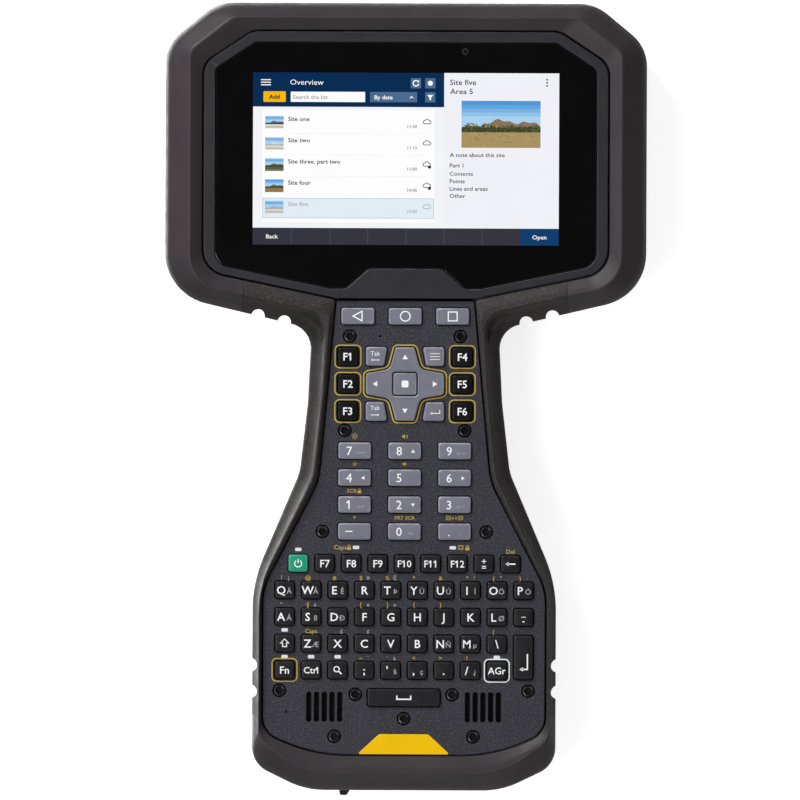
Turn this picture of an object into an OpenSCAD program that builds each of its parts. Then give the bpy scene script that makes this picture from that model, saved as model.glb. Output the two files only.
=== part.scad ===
// Rugged field data collector: a landscape touch screen above a waisted QWERTY keypad.
// It lies on its back. X runs across it, Y towards the head and Z out of the screen.
// The origin is under the middle of the outline, on the plane that the back rests on.

/* [Outline] */
// Half the width of the head
head_half = 87.2; // [86:0.2:90]
// Top edge of the head
head_top = 143.6; // [142:0.2:146]
// Height of the head's lower corners
head_foot = 38; // [36:0.5:40]
// Half the width of the waist, just under the head
waist_half = 33.9; // [33:0.1:36]
// Half the width of the keypad body
body_half = 55; // [54.6:0.1:57]
// Lower edge of the keypad body
body_foot = -141.6; // [-144:0.2:-141]

/* [Depth] */
// Depth of the recess that the bumpers leave behind the rear housing
rim_depth = 3; // [2:0.5:4]
// Thickness of the housing walls
wall = 2.6; // [2:0.1:3]
// Plane where the two housing halves meet
split_z = 20; // [20:0.2:20.6]
// Plane that the bezel and the keypad fascia stand on
deck_z = 31; // [31:0.1:31.4]
// Top of the keypad fascia
fascia_z = 33.6; // [33.4:0.1:34]
// Top of the display bezel
bezel_z = 34.8; // [34.6:0.1:35]
// Ridge of the bumper round the head
head_crest_z = 38; // [37:0.5:40]
// Ridge of the frames round the keypad
body_crest_z = 36; // [35:0.5:37]

/* [Screen] */
// Width of the lit area
screen_w = 110.7; // [105:0.1:112]
// Height of the lit area
screen_h = 62.3; // [58:0.1:63]
// Height of the screen's centre on the head
screen_y = 87; // [86:0.5:88]

/* [Keys] */
// Distance between the letter keys
key_pitch = 9.6; // [9.5:0.1:9.7]
// Distance between the rows of letter keys
row_pitch = 9.65; // [9.5:0.05:9.8]
// Width of a letter key
key_w = 7; // [6.6:0.1:7.2]
// Depth of a letter key
key_d = 6.2; // [5.8:0.1:6.4]
// How far a key stands above the fascia
key_rise = 1.1; // [0.8:0.1:1.4]
// How far a key travels
key_travel = 0.7; // [0.5:0.1:0.7]

/* [Stylus and battery] */
// Radius of the stylus
stylus_r = 2.6; // [2.2:0.1:2.8]
// Length of the stylus, with the end that stands out
stylus_len = 108; // [95:1:110]
// Width of the battery pack
battery_w = 96; // [80:1:96]
// Height of the battery pack
battery_h = 54; // [44:1:54]

/* [Fastening] */
// Distance across the bracket inserts
insert_span_x = 38; // [36:1:38]
// Distance along the bracket inserts
insert_span_y = 30; // [28:1:30]
// Radius of the thread in a bracket insert
insert_bore_r = 1.65; // [1.5:0.05:2]

/* [Hidden] */

rubber = "#3a3436";
plastic = "#2f2f34";
dark = "#1b1a1c";
grey_key = "#80828b";
board_green = "#1f4a34";
steel = "#8b8d90";

bore_fn = 32;      // facets of a true round
arc_steps = 5;     // facets of an outline's corner
key_steps = 3;     // facets of a key's corner
far = 300;         // beyond the object in every direction
nick = 0.05;       // how far a cut runs past the face that it opens

shoulder_drop = 12.5;    // fall of the head's underside from its corner to the waist

// Half outlines, from the top down the right side: [x, y, corner radius].
silhouette_side = [
    [68.3, head_top, 16], [head_half, head_top - 15.6, 15], [head_half, head_foot, 19],
    [waist_half, head_foot - shoulder_drop, 9], [waist_half + 1.3, -1, 60], [38.1, -26.5, 20],
    [body_half, -66.4, 50], [body_half, body_foot + 9.4, 10], [35.5, body_foot, 30]
];
crest_side = [
    [62.5, head_top - 5.4, 5], [head_half - 9, head_top - 17.6, 5],
    [head_half - 9, head_foot + 3.4, 13], [28.4, 30.8, 8], [30.3, 0, 60], [33.3, -28, 22],
    [body_half - 2.2, -67.6, 40], [body_half - 2.2, -124, 8], [34.5, -136, 30]
];
opening_head_side = [[55.5, 133.5, 8], [73.6, 121.5, 8], [73.6, 46.1, 10]];
opening_body_side = [
    [25.2, 36.1, 1], [28, 5, 80], [31.2, -29.5, 25], [51.4, -68.7, 22], [51.4, -120, 6],
    [33.5, -128.9, 28]
];
glass_side = [
    [54.5, 129.2, 3], [69.1, 119.5, 3], [69.1, 48.6, 6], [27, 40, 3], [21.5, 40, 4],
    [13.2, 47.3, 3]
];
plate_side = [[8.9, -121.1, 1.5], [16.8, -128.4, 0.4]];
dpad_side = [
    [4, 14.05, 1.6], [6.15, 6, 2.5], [14.95, 4.5, 2], [14.95, -4.5, 2], [6.15, -6, 2.5],
    [4, -14.05, 1.6]
];

// Places that several parts share.
seam_x = 58.6;           // joint between the head bumper and a grip frame
seam_y = -114.7;         // joint between a grip frame and the bottom bumper
seam_gap = 0.15;         // half the gap at a bumper joint
bridge_y = 100;          // above this the head bumper runs from side to side
skin = 4;                // thickness of the rubber over the housing
housing_in = skin + 0.2; // inset of the housing from the outline
gasket_h = 0.8;
floor_z = 22;            // underside of the chassis floor
floor_t = 1.5;
deck_t = 1.5;
dpad_centre = [0, 5.6];
key_seat = deck_z - 1.4; // underside of every key's flange
flange_t = 1;
flange_w = 0.6;
key_top = fascia_z + key_rise;
key_gap = 0.3;           // gap between a key and its hole
fascia_screw_at = [
    [20, 22.8], [21.7, -11.3], [29.6, -47.9], [45, -105.4], [17.5, -106.8], [25.1, -122]
];
fascia_screw_middle = [0, -115.5];
rear_screw_at = [[66, 119], [66, 56], [20, -12], [40, -75], [38, -121]];
insert_centre = [0, 28];
lens_at = [
    [-38.4, -54.4], [-17.5, -53.6], [17.5, -53.6], [-43.2, -83.55], [-43.2, -93.2],
    [-33.6, -93.2], [-24, -93.2], [33.6, -93.2]
];
microphone_at = [[-9, 22.8], [-42.5, -113.2]];
speaker_centre = [28.7, -111.3];
speaker_w = 15.6;
speaker_d = 12.6;
stylus_x = -21.3;
stylus_z = 10;
stylus_foot = body_foot - 2;
bay_clear = 1;           // gap between the battery pack and its bay
door_w = 104;
door_h = 62;
door_t = 2.2;
door_axis = [screen_y + door_h / 2 - door_t / 2, rim_depth + door_t / 2];
port_w = 24;
port_z = 15;
port_h = 12;
cover_t = 2.4;
port_axis = [body_foot + cover_t / 2, port_z - port_h / 2 + cover_t / 2];
trunnion_r = 0.8;
trunnion_len = 1.5;
fit = 0.08;              // radial clearance of a trunnion in its socket

// Rows of keys: the centre of the first key, counted from the left.
function_y = -59.4;
q_y = function_y - row_pitch;
a_y = q_y - row_pitch;
shift_y = a_y - row_pitch;
control_y = shift_y - row_pitch;
row_start = -4.5 * key_pitch;
number_w = 11.9;
number_d = 6;
number_pitch = 18.1;
number_row_pitch = 9.73;
number_y = -18.6;
nav_w = 12;
nav_pitch = 17.15;
nav_y = 30.1;
f_key_w = 7.2;
f_key_d = 6.5;
f_key_x = 20.7;
f_key_pitch = 9.85;
space_w = 26.3;
space_y = -107.9;

// ---- outlines ----

function unit(v) = v / norm(v);
function flat(p) = [p.x, p.y];
function mirrored(side) =
    concat(side, [for (i = [len(side) - 1 : -1 : 0]) [-side[i].x, side[i].y, side[i][2]]]);
function before(i, n) = (i + n - 1) % n;
function after(i, n) = (i + 1) % n;

// The unit vector that points into a clockwise outline from the edge a-b.
function inward(a, b) = let (u = unit(b - a)) [u.y, -u.x];

// A clockwise outline moved in by d: its convex corners tighten and its hollow ones open.
function inset(pts, d) = [
    for (i = [0 : len(pts) - 1])
        let (
            p = flat(pts[before(i, len(pts))]), q = flat(pts[i]), r = flat(pts[after(i, len(pts))]),
            m = inward(p, q), n = inward(q, r), shift = (m + n) * d / (1 + m * n),
            hollow = cross(q - p, r - q) > 0
        )
        [q.x + shift.x, q.y + shift.y, max(0.3, pts[i][2] + (hollow ? d : -d))]
];

// One corner as an arc of the given number of facets.
function corner(p, q, r, radius, steps) =
    let (
        u = unit(p - q), v = unit(r - q), half = acos(u * v) / 2,
        centre = q + unit(u + v) * radius / sin(half),
        from = q + u * radius / tan(half) - centre,
        to = q + v * radius / tan(half) - centre,
        turn = 180 - 2 * half
    )
    [for (k = [0 : steps]) centre
        + (from * sin((1 - k / steps) * turn) + to * sin(k / steps * turn)) / sin(turn)];

function rounded(pts, steps) = [
    for (i = [0 : len(pts) - 1])
        each corner(flat(pts[before(i, len(pts))]), flat(pts[i]),
            flat(pts[after(i, len(pts))]), pts[i][2], steps)
];

function box_outline(w, h, r, at = [0, 0]) = [
    [at.x + w / 2, at.y + h / 2, r], [at.x + w / 2, at.y - h / 2, r],
    [at.x - w / 2, at.y - h / 2, r], [at.x - w / 2, at.y + h / 2, r]
];
function moved(pts, at) = [for (p = pts) [p.x + at.x, p.y + at.y, p[2]]];

silhouette = mirrored(silhouette_side);
crest = mirrored(crest_side);
opening = mirrored(concat(opening_head_side, opening_body_side));
bezel_outline = mirrored(concat(opening_head_side, [opening_body_side[0]]));
fascia_outline = mirrored(opening_body_side);
glass_outline = mirrored(glass_side);
dpad_outline = moved(mirrored(dpad_side), dpad_centre);

module plate(pts, z0, z1, steps = arc_steps)
    translate([0, 0, z0]) linear_extrude(z1 - z0) polygon(rounded(pts, steps));

module block(size, at) translate([at.x - size.x / 2, at.y - size.y / 2, at.z]) cube(size);

module post(r, at, z0, z1) translate([at.x, at.y, z0]) cylinder(r = r, h = z1 - z0, $fn = bore_fn);

module rod_x(r, at, x0, x1)
    translate([x0, at[0], at[1]]) rotate([0, 90, 0]) cylinder(r = r, h = x1 - x0, $fn = bore_fn);

module rod_y(r, x, z, y0, y1)
    translate([x, y1, z]) rotate([90, 0, 0]) cylinder(r = r, h = y1 - y0, $fn = bore_fn);

module both_sides() {
    children();
    mirror([1, 0, 0]) children();
}

module at_fascia_screws() {
    for (p = fascia_screw_at) both_sides() translate([p.x, p.y, 0]) children();
    translate([fascia_screw_middle.x, fascia_screw_middle.y, 0]) children();
}

module at_rear_screws() {
    for (p = rear_screw_at) both_sides() translate([p.x, p.y, 0]) children();
}

module at_inserts() {
    for (x = [-0.5, 0.5], y = [-0.5, 0.5])
        translate([insert_centre.x + x * insert_span_x, insert_centre.y + y * insert_span_y, 0])
            children();
}

// ---- the rubber wrap round the whole outline ----

// A height that runs from the body's value to the head's across the shoulder.
shoulder = [22, 40];
function blended(y, body_z, head_z) =
    let (t = min(1, max(0, (y - shoulder[0]) / (shoulder[1] - shoulder[0]))))
    body_z + (head_z - body_z) * t * t * (3 - 2 * t);
function ring(pts, body_z, head_z) =
    [for (p = rounded(pts, arc_steps)) [p.x, p.y, blended(p.y, body_z, head_z)]];
function level(pts, z) = ring(pts, z, z);

rim_w = 11.5;            // how far the wrap turns in over the back
lip_drop = 0.1;          // the fall of the lip's underside towards the housing
wrap_rings = [
    level(inset(silhouette, 8), 0),
    level(inset(silhouette, 3.2), 1.6),
    level(silhouette, 8),
    level(silhouette, 26),
    ring(inset(silhouette, 1.4), 30.5, 31.5),
    ring(crest, body_crest_z, head_crest_z),
    ring(opening, fascia_z + 0.3, bezel_z + 0.4),
    level(opening, deck_z),
    level(inset(silhouette, skin), deck_z - lip_drop),
    level(inset(silhouette, skin), rim_depth),
    level(inset(silhouette, rim_w), rim_depth),
    level(inset(silhouette, rim_w), 0)
];
ring_size = len(wrap_rings[0]);
ring_count = len(wrap_rings);

module wrap()
    polyhedron(
        points = [for (r = wrap_rings) each r],
        faces = [
            for (j = [0 : ring_count - 1], i = [0 : ring_size - 1])
                let (
                    a = j * ring_size + i, b = j * ring_size + after(i, ring_size),
                    up = after(j, ring_count) * ring_size,
                    c = up + after(i, ring_size), d = up + i
                )
                each [[a, b, c], [a, c, d]]
        ]
    );

module head_bumper()
    color(rubber) difference() {
        wrap();
        translate([-seam_x - seam_gap, -far, -1]) cube([2 * (seam_x + seam_gap), far + bridge_y, far]);
    }

notch_r = 2.5;
module grip_notches() {
    slope = shoulder_drop / (head_half - waist_half);
    for (x = [43.9, 53.4]) post(notch_r, [x, head_foot - (head_half - x) * slope], -1, far);
    for (y = [-105.9, -96.3]) post(notch_r, [body_half + 0.7, y], -1, far);
}

module grip_frame()
    difference() {
        intersection() {
            wrap();
            translate([0, seam_y + seam_gap, -1]) cube([seam_x - seam_gap, bridge_y - seam_y, far]);
        }
        grip_notches();
    }

module right_grip_frame() color(rubber) grip_frame();
module left_grip_frame() color(rubber) mirror([1, 0, 0]) grip_frame();

module port_window(depth)
    block([port_w + 0.6, depth, port_h + 0.6],
        [0, body_foot + depth / 2 - nick, port_z - port_h / 2 - 0.3]);

module bottom_bumper()
    color(rubber) difference() {
        intersection() {
            wrap();
            translate([-far, -far, -1]) cube([2 * far, far + seam_y - seam_gap, far]);
        }
        rod_y(stylus_r + 0.4, stylus_x, stylus_z, -far, body_foot + 10);
        port_window(skin + 1);
        rod_x(trunnion_r + fit, port_axis, -port_w / 2 - trunnion_len, port_w / 2 + trunnion_len);
    }

// ---- housing ----

silo_r = stylus_r + 0.4;
silo_top = stylus_foot + stylus_len + 1;
bay_w = battery_w + 2 * bay_clear;
bay_h = battery_h + 2 * bay_clear;
bay_ceiling = 18.4;
boss_r = 4;
rear_head_r = 2.8;
rear_shank_r = 1.5;
rear_seat_z = 8;
camera_at = [0, 128];

module rear_housing_solid() {
    difference() {
        plate(inset(silhouette, housing_in), rim_depth, split_z);
        plate(inset(silhouette, housing_in + wall), rim_depth + wall, split_z + nick);
    }
    block([door_w + 6, door_h + 6, split_z - 0.4 - rim_depth - nick], [0, screen_y, rim_depth + nick]);
    at_rear_screws() post(boss_r, [0, 0], rim_depth + nick, split_z);
    at_inserts() post(4.6, [0, 0], rim_depth + nick, 14);
    rod_y(silo_r + 1.2, stylus_x, stylus_z, body_foot + housing_in + nick, silo_top + 1.5);
    post(6, camera_at, rim_depth + nick, 10);
}

module rear_housing()
    color(plastic) difference() {
        rear_housing_solid();
        plate(box_outline(door_w + 0.6, door_h + 0.6, 0.4, [0, screen_y]), 0, rim_depth + door_t + 0.3);
        block([bay_w, bay_h, bay_ceiling], [0, screen_y, 0]);
        rod_x(trunnion_r + fit, door_axis, -door_w / 2 - trunnion_len, door_w / 2 + trunnion_len);
        at_rear_screws() post(rear_head_r + 0.3, [0, 0], 0, rear_seat_z);
        at_rear_screws() post(rear_shank_r + 0.2, [0, 0], 0, far);
        at_inserts() post(3.1, [0, 0], 0, 12);
        rod_y(silo_r, stylus_x, stylus_z, -far, silo_top);
        post(4.6, camera_at, 0, far);
        block([16, 8, 8], [0, body_foot + 6, port_z - 4]);
    }

module housing_gasket()
    color("#c2703a") difference() {
        plate(inset(silhouette, housing_in + 0.3), split_z, split_z + gasket_h);
        plate(inset(silhouette, housing_in + wall - 0.3), split_z - 1, split_z + 2);
    }

module front_chassis()
    color(plastic) difference() {
        union() {
            difference() {
                plate(inset(silhouette, housing_in), split_z + gasket_h, deck_z - lip_drop);
                plate(inset(silhouette, housing_in + wall), 0, deck_z - deck_t);
                plate(inset(opening, 1.2), 0, far);
            }
            plate(inset(silhouette, housing_in + wall - nick), floor_z, floor_z + floor_t);
            at_fascia_screws() post(2.2, [0, 0], floor_z + nick, deck_z - lip_drop);
            at_rear_screws() post(boss_r, [0, 0], split_z + nick, floor_z + nick);
        }
        at_fascia_screws() post(fascia_shank_r + 0.1, [0, 0], floor_z + floor_t, far);
        at_rear_screws() post(rear_shank_r + nick, [0, 0], 0, floor_z + 1);
        plate(box_outline(24, 8, 2, [0, 44]), 0, far);
    }

// ---- display ----

ledge_z = 32.3;
glass_z = 32.9;
ledge_in = 1;
lcd_margin = [8, 9];     // how much larger the module is than its lit area

module display_bezel()
    color(plastic) difference() {
        plate(inset(bezel_outline, 0.15), deck_z, bezel_z);
        plate(glass_outline, ledge_z, far);
        plate(inset(glass_outline, ledge_in), 0, far);
    }

module display_gasket()
    color(dark) difference() {
        plate(inset(glass_outline, 0.1), ledge_z, glass_z);
        plate(inset(glass_outline, ledge_in), 0, far);
    }

module touch_glass() color("#0d0c0d") plate(inset(glass_outline, 0.12), glass_z, glass_z + 1.4);

module lcd_module()
    color("#dfe6ee") {
        block([screen_w, screen_h, 0.5], [0, screen_y, glass_z - 0.5]);
        block([screen_w + lcd_margin.x, screen_h + lcd_margin.y, 3.8], [0, screen_y, glass_z - 4.3]);
    }

module front_camera() color(dark) post(2, [21.3, 125.9], 28, glass_z);

// ---- keypad ----

function f_key_at(i) = [i < 3 ? -f_key_x : f_key_x, dpad_centre.y + (1 - i % 3) * f_key_pitch];
function row_at(i, y, x0 = row_start) = [x0 + i * key_pitch, y];
function letter_key(at) = box_outline(key_w, key_d, 0.9, at);
function number_key_at(i, row) = [(i - 1) * number_pitch, number_y - row * number_row_pitch];
function number_key(i, row) = box_outline(number_w, number_d, 0.9, number_key_at(i, row));
function nav_key_at(i) = [(i - 1) * nav_pitch, nav_y];
function nav_key(i) = box_outline(nav_w, number_d, 0.9, nav_key_at(i));
function f_key(i) = box_outline(f_key_w, f_key_d, 1, f_key_at(i));

// The key beside the upper right arm of the pad. The others are its mirror images.
corner_key = [[14.2, 19, 1], [14.2, 12.1, 1], [7.6, 12.1, 1], [6.3, 19, 1]];
power_outline = letter_key(row_at(0, function_y, -4 * key_pitch));
enter_at = [-row_start, (shift_y + control_y) / 2];
enter_outline = box_outline(key_w, key_d + row_pitch, 0.9, enter_at);
space_outline = box_outline(space_w, key_d, 1.2, [0, space_y]);
dpad_key = inset(dpad_outline, 0.75);
ok_w = 8.4;
ok_d = 8;

// A key with the flange that holds it under the fascia.
module key(pts) {
    plate(pts, key_seat, key_top, key_steps);
    plate(inset(pts, -flange_w), key_seat, key_seat + flange_t, key_steps);
}

module key_hole(pts) plate(inset(pts, -key_gap), 0, far, key_steps);

module at_corner_key(right, upper)
    translate([0, upper ? 0 : 2 * dpad_centre.y, 0])
        mirror([0, upper ? 0 : 1, 0])
            mirror([right ? 0 : 1, 0, 0]) children();

module row(count, y, x0 = row_start) {
    for (i = [0 : count - 1]) key(letter_key(row_at(i, y, x0)));
}

module number_row(row) {
    for (i = [0 : 2]) key(number_key(i, row));
}

module power_key() color("#1f9a78") key(power_outline);
module back_key() color(grey_key) key(nav_key(0));
module home_key() color(grey_key) key(nav_key(1));
module recent_key() color(grey_key) key(nav_key(2));
module f1_key() color(dark) key(f_key(0));
module f2_key() color(dark) key(f_key(1));
module f3_key() color(dark) key(f_key(2));
module f4_key() color(dark) key(f_key(3));
module f5_key() color(dark) key(f_key(4));
module f6_key() color(dark) key(f_key(5));
module tab_back_key() color(grey_key) at_corner_key(false, true) key(corner_key);
module tab_next_key() color(grey_key) at_corner_key(false, false) key(corner_key);
module menu_key() color(grey_key) at_corner_key(true, true) key(corner_key);
module small_enter_key() color(grey_key) at_corner_key(true, false) key(corner_key);
module number_row_7() color(grey_key) number_row(0);
module number_row_4() color(grey_key) number_row(1);
module number_row_1() color(grey_key) number_row(2);
module number_row_0() color(grey_key) number_row(3);
module function_row() color(dark) row(8, function_y, -3 * key_pitch);
module q_row() color(dark) row(10, q_y);
module a_row() color(dark) row(10, a_y);
module shift_row() color(dark) row(9, shift_y);
module control_row() color(dark) row(9, control_y);
module enter_key() color(dark) key(enter_outline);
module space_key() color(dark) key(space_outline);

// The four-way pad rocks on a square rubber ring that its select key passes through.
pad_bottom = 29.7;
pad_flange_t = 0.6;
module dpad_pivot()
    color(dark) difference() {
        block([13.4, 12.8, 0.6], [dpad_centre.x, dpad_centre.y, 28.8]);
        block([10.4, 10, far], [dpad_centre.x, dpad_centre.y, 0]);
    }

module dpad()
    color(grey_key) difference() {
        union() {
            plate(dpad_key, pad_bottom, key_top + 0.1);
            plate(inset(dpad_key, -0.5), pad_bottom, pad_bottom + pad_flange_t);
        }
        plate(box_outline(ok_w + 0.8, ok_d + 0.8, 1, dpad_centre), 0, far);
        block([14.4, 13.8, 0.3], [dpad_centre.x, dpad_centre.y, pad_bottom - nick]);
    }

module ok_key() color(grey_key) plate(box_outline(ok_w, ok_d, 0.8, dpad_centre), key_seat - 0.2, key_top);

fascia_head_r = 2.1;
fascia_shank_r = 1.2;
fascia_seat_z = fascia_z - 1.5;
slot_count = 5;
slot_pitch = 2.8;
slot_w = 1.9;
slot_len = 10.9;
lens_w = 2.35;
lens_d = 1.2;
lens_clear = 0.15;

module key_holes() {
    key_hole(power_outline);
    key_hole(enter_outline);
    key_hole(space_outline);
    for (i = [0 : 2]) key_hole(nav_key(i));
    for (i = [0 : 5]) key_hole(f_key(i));
    for (right = [false, true], upper = [false, true]) at_corner_key(right, upper) key_hole(corner_key);
    for (i = [0 : 2], row = [0 : 3]) key_hole(number_key(i, row));
    for (i = [0 : 7]) key_hole(letter_key(row_at(i, function_y, -3 * key_pitch)));
    for (y = [q_y, a_y], i = [0 : 9]) key_hole(letter_key(row_at(i, y)));
    for (y = [shift_y, control_y], i = [0 : 8]) key_hole(letter_key(row_at(i, y)));
    plate(inset(dpad_key, -0.35), 0, far);
}

module speaker_slots()
    both_sides()
        for (i = [0 : slot_count - 1])
            plate(box_outline(slot_w, slot_len, slot_w / 2 - 0.05, [
                speaker_centre.x + (i - (slot_count - 1) / 2) * slot_pitch, speaker_centre.y
            ]), 0, far);

module keypad_fascia()
    color("#3a3a43") difference() {
        plate(inset(fascia_outline, 0.25), deck_z, fascia_z);
        key_holes();
        speaker_slots();
        at_fascia_screws() post(fascia_head_r + 0.4, [0, 0], fascia_seat_z, far);
        at_fascia_screws() post(fascia_shank_r + 0.3, [0, 0], 0, far);
        for (p = lens_at)
            plate(box_outline(lens_w + lens_clear, lens_d + lens_clear, 0.5, p), 0, far, key_steps);
        for (p = microphone_at) post(0.4, p, 0, far);
        plate(inset(mirrored(plate_side), -0.1), fascia_z - 0.4, far);
    }

module fascia_screws()
    color(steel) at_fascia_screws() difference() {
        union() {
            post(fascia_head_r, [0, 0], fascia_seat_z, fascia_z - 0.4);
            post(fascia_shank_r, [0, 0], floor_z + 3, fascia_seat_z + nick);
        }
        translate([0, 0, fascia_z - 1.2]) cylinder(r = 1.1, h = far, $fn = 6);
    }

module name_plate() color("#f5c800") plate(mirrored(plate_side), fascia_z - 0.4, fascia_z + 0.15);

module indicator_lenses()
    color("#e8ecf0") for (p = lens_at)
        plate(box_outline(lens_w, lens_d, 0.45, p), deck_z - 1, fascia_z, key_steps);

// The cut-outs that the board and the sheet under the keys leave round posts and speakers.
module board_clearance() {
    at_fascia_screws() post(2.6, [0, 0], 0, far);
    both_sides() block([speaker_w + 2.4, 30, far], [speaker_centre.x, speaker_centre.y - 7, 0]);
    for (p = microphone_at) post(1.8, p, 0, far);
}

sheet_z = 27.3;
sheet_t = 1.1;
board_gap = 0.2;
board_t = 1.6;
dome_r = 1.9;
dome_top = key_seat - key_travel - 0.3;
pad_contact = [11.2, 9.95]; // contacts of the four-way pad's arms and of the corner keys
module dome(at) post(dome_r, at, sheet_z, dome_top);

module keypad_membrane()
    color("#4a4b50") {
        difference() {
            plate(inset(fascia_outline, 2.2), sheet_z, sheet_z + sheet_t);
            board_clearance();
        }
        for (i = [0 : 2], row = [0 : 3]) dome(number_key_at(i, row));
        for (i = [0 : 2]) dome(nav_key_at(i));
        for (i = [0 : 5]) dome(f_key_at(i));
        for (i = [0 : 8]) dome(row_at(i, function_y, -4 * key_pitch));
        for (y = [q_y, a_y], i = [0 : 9]) dome(row_at(i, y));
        for (y = [shift_y, control_y], i = [0 : 8]) dome(row_at(i, y));
        for (a = [0 : 90 : 270]) dome(dpad_centre + pad_contact.x * [cos(a), sin(a)]);
        both_sides() for (s = [-1, 1]) dome(dpad_centre + [pad_contact.x, s * pad_contact.y]);
        dome(dpad_centre);
        dome([0, space_y]);
        dome(enter_at);
    }

module keypad_board()
    color(board_green) difference() {
        plate(inset(fascia_outline, 2.6), sheet_z - board_gap - board_t, sheet_z - board_gap);
        board_clearance();
    }

module speakers()
    color(dark) both_sides() block([speaker_w, speaker_d, 5.2], [speaker_centre.x, speaker_centre.y, 25]);

module speaker_meshes()
    color("#151515") both_sides()
        block([speaker_w, speaker_d, 0.5], [speaker_centre.x, speaker_centre.y, deck_z - 0.6]);

module microphones() color(steel) for (p = microphone_at) post(1.4, p, 29.4, deck_z - 0.1);

// ---- electronics ----

main_board_z = 24.4;
// What stands on the main board: [size, place from the board's centre].
chips = [
    [[18, 18, 1.8], [-22, 6]], [[14, 14, 1.4], [6, 10]], [[26, 18, 2], [34, -8]],
    [[20, 5, 2], [0, -24]]
];

module main_board()
    color(board_green) {
        block([112, 60, board_t], [0, screen_y, main_board_z]);
        for (c = chips) block(c[0], [c[1].x, screen_y + c[1].y, main_board_z + board_t]);
    }

module battery_pack()
    color("#23262b")
        plate(box_outline(battery_w, battery_h, 3, [0, screen_y]), rim_depth + wall, bay_ceiling - 0.4);

module rear_camera()
    color(dark) {
        post(4.4, camera_at, rim_depth + 0.4, 12);
        block([9, 9, 4], [camera_at.x, camera_at.y, 12]);
    }

module gnss_antenna() color("#b8a888") block([30, 11, 5], [36, 127.5, 12]);

module usb_port()
    color(steel) difference() {
        block([9, 8, 3.4], [0, body_foot + 13, port_z - 1.7]);
        block([8.2, 7, 2.6], [0, body_foot + 12, port_z - 1.3]);
    }

// ---- fasteners ----

module rear_screws()
    color(steel) at_rear_screws() difference() {
        union() {
            post(rear_head_r, [0, 0], rear_seat_z - 3, rear_seat_z);
            post(rear_shank_r, [0, 0], rear_seat_z - nick, floor_z + 0.8);
        }
        translate([0, 0, rear_seat_z - 3 - nick]) cylinder(r = 1.5, h = 1.6, $fn = 6);
    }

module mount_inserts()
    color("#b08d3c") at_inserts() difference() {
        post(3, [0, 0], rim_depth, 11.5);
        post(insert_bore_r, [0, 0], 0, 11);
    }

// ---- parts that open or come out ----

module port_cover()
    color(rubber) {
        block([port_w, cover_t, port_h - cover_t / 2], [0, port_axis[0], port_axis[1]]);
        rod_x(cover_t / 2, port_axis, -port_w / 2, port_w / 2);
        rod_x(trunnion_r, port_axis, -port_w / 2 - trunnion_len + 0.2, port_w / 2 + trunnion_len - 0.2);
        block([port_w - 6, 1.4, port_h - 5], [0, port_axis[0] + cover_t / 2 + 0.7, port_z - 3]);
    }

latch_y = screen_y - door_h / 2;
latch_w = 18;
latch_travel = 3;
latch_tab = [14, 5.2, 1.8];

module battery_door()
    color(plastic) difference() {
        union() {
            block([door_w, door_axis[0] - latch_y, door_t],
                [0, (door_axis[0] + latch_y) / 2, rim_depth]);
            rod_x(door_t / 2, door_axis, -door_w / 2, door_w / 2);
            rod_x(trunnion_r, door_axis, -door_w / 2 - trunnion_len + 0.2, door_w / 2 + trunnion_len - 0.2);
        }
        block([latch_w + 0.6, 9.3 + latch_travel, 1.8], [0, latch_y + 6.1, rim_depth + 0.9]);
        block([latch_tab.x + 0.6, latch_tab.y + 0.7 + latch_travel, far], [0, latch_y + 7, 0]);
    }

module battery_latch()
    color("#c8452e") {
        block([latch_w, 8.4, 1], [0, latch_y + 4.4, rim_depth + 1.2]);
        block(latch_tab, [0, latch_y + 5.4, rim_depth - 0.5]);
    }

nib_len = 7;
module stylus()
    color(dark) {
        rod_y(stylus_r, stylus_x, stylus_z, body_foot - 0.4, stylus_foot + stylus_len - nib_len);
        translate([stylus_x, stylus_foot + stylus_len - nib_len - nick, stylus_z]) rotate([-90, 0, 0])
            cylinder(r1 = stylus_r, r2 = 0.8, h = nib_len, $fn = bore_fn);
        block([4.3, 2, 3.6], [stylus_x, body_foot - 1, stylus_z - 1.8]);
    }

rear_housing();
housing_gasket();
front_chassis();
head_bumper();
left_grip_frame();
right_grip_frame();
bottom_bumper();
display_bezel();
display_gasket();
touch_glass();
lcd_module();
keypad_fascia();
fascia_screws();
name_plate();
keypad_membrane();
keypad_board();
main_board();
battery_pack();
speakers();
speaker_meshes();
microphones();
front_camera();
rear_camera();
indicator_lenses();
rear_screws();
mount_inserts();
gnss_antenna();
usb_port();
port_cover();
battery_door();
battery_latch();
stylus();
power_key();
dpad_pivot();
dpad();
ok_key();
back_key();
home_key();
recent_key();
f1_key();
f2_key();
f3_key();
f4_key();
f5_key();
f6_key();
tab_back_key();
tab_next_key();
menu_key();
small_enter_key();
number_row_7();
number_row_4();
number_row_1();
number_row_0();
function_row();
q_row();
a_row();
shift_row();
control_row();
enter_key();
space_key();
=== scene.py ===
# Rugged field data collector: its looks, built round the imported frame.
# Lengths here are millimetres in the frame's own axes, unless a comment says otherwise.
# Piece.done() and mesh_object() turn them into metres.
import math
import random

import bmesh
import bpy
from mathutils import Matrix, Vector
from mathutils.geometry import delaunay_2d_cdt


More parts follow.
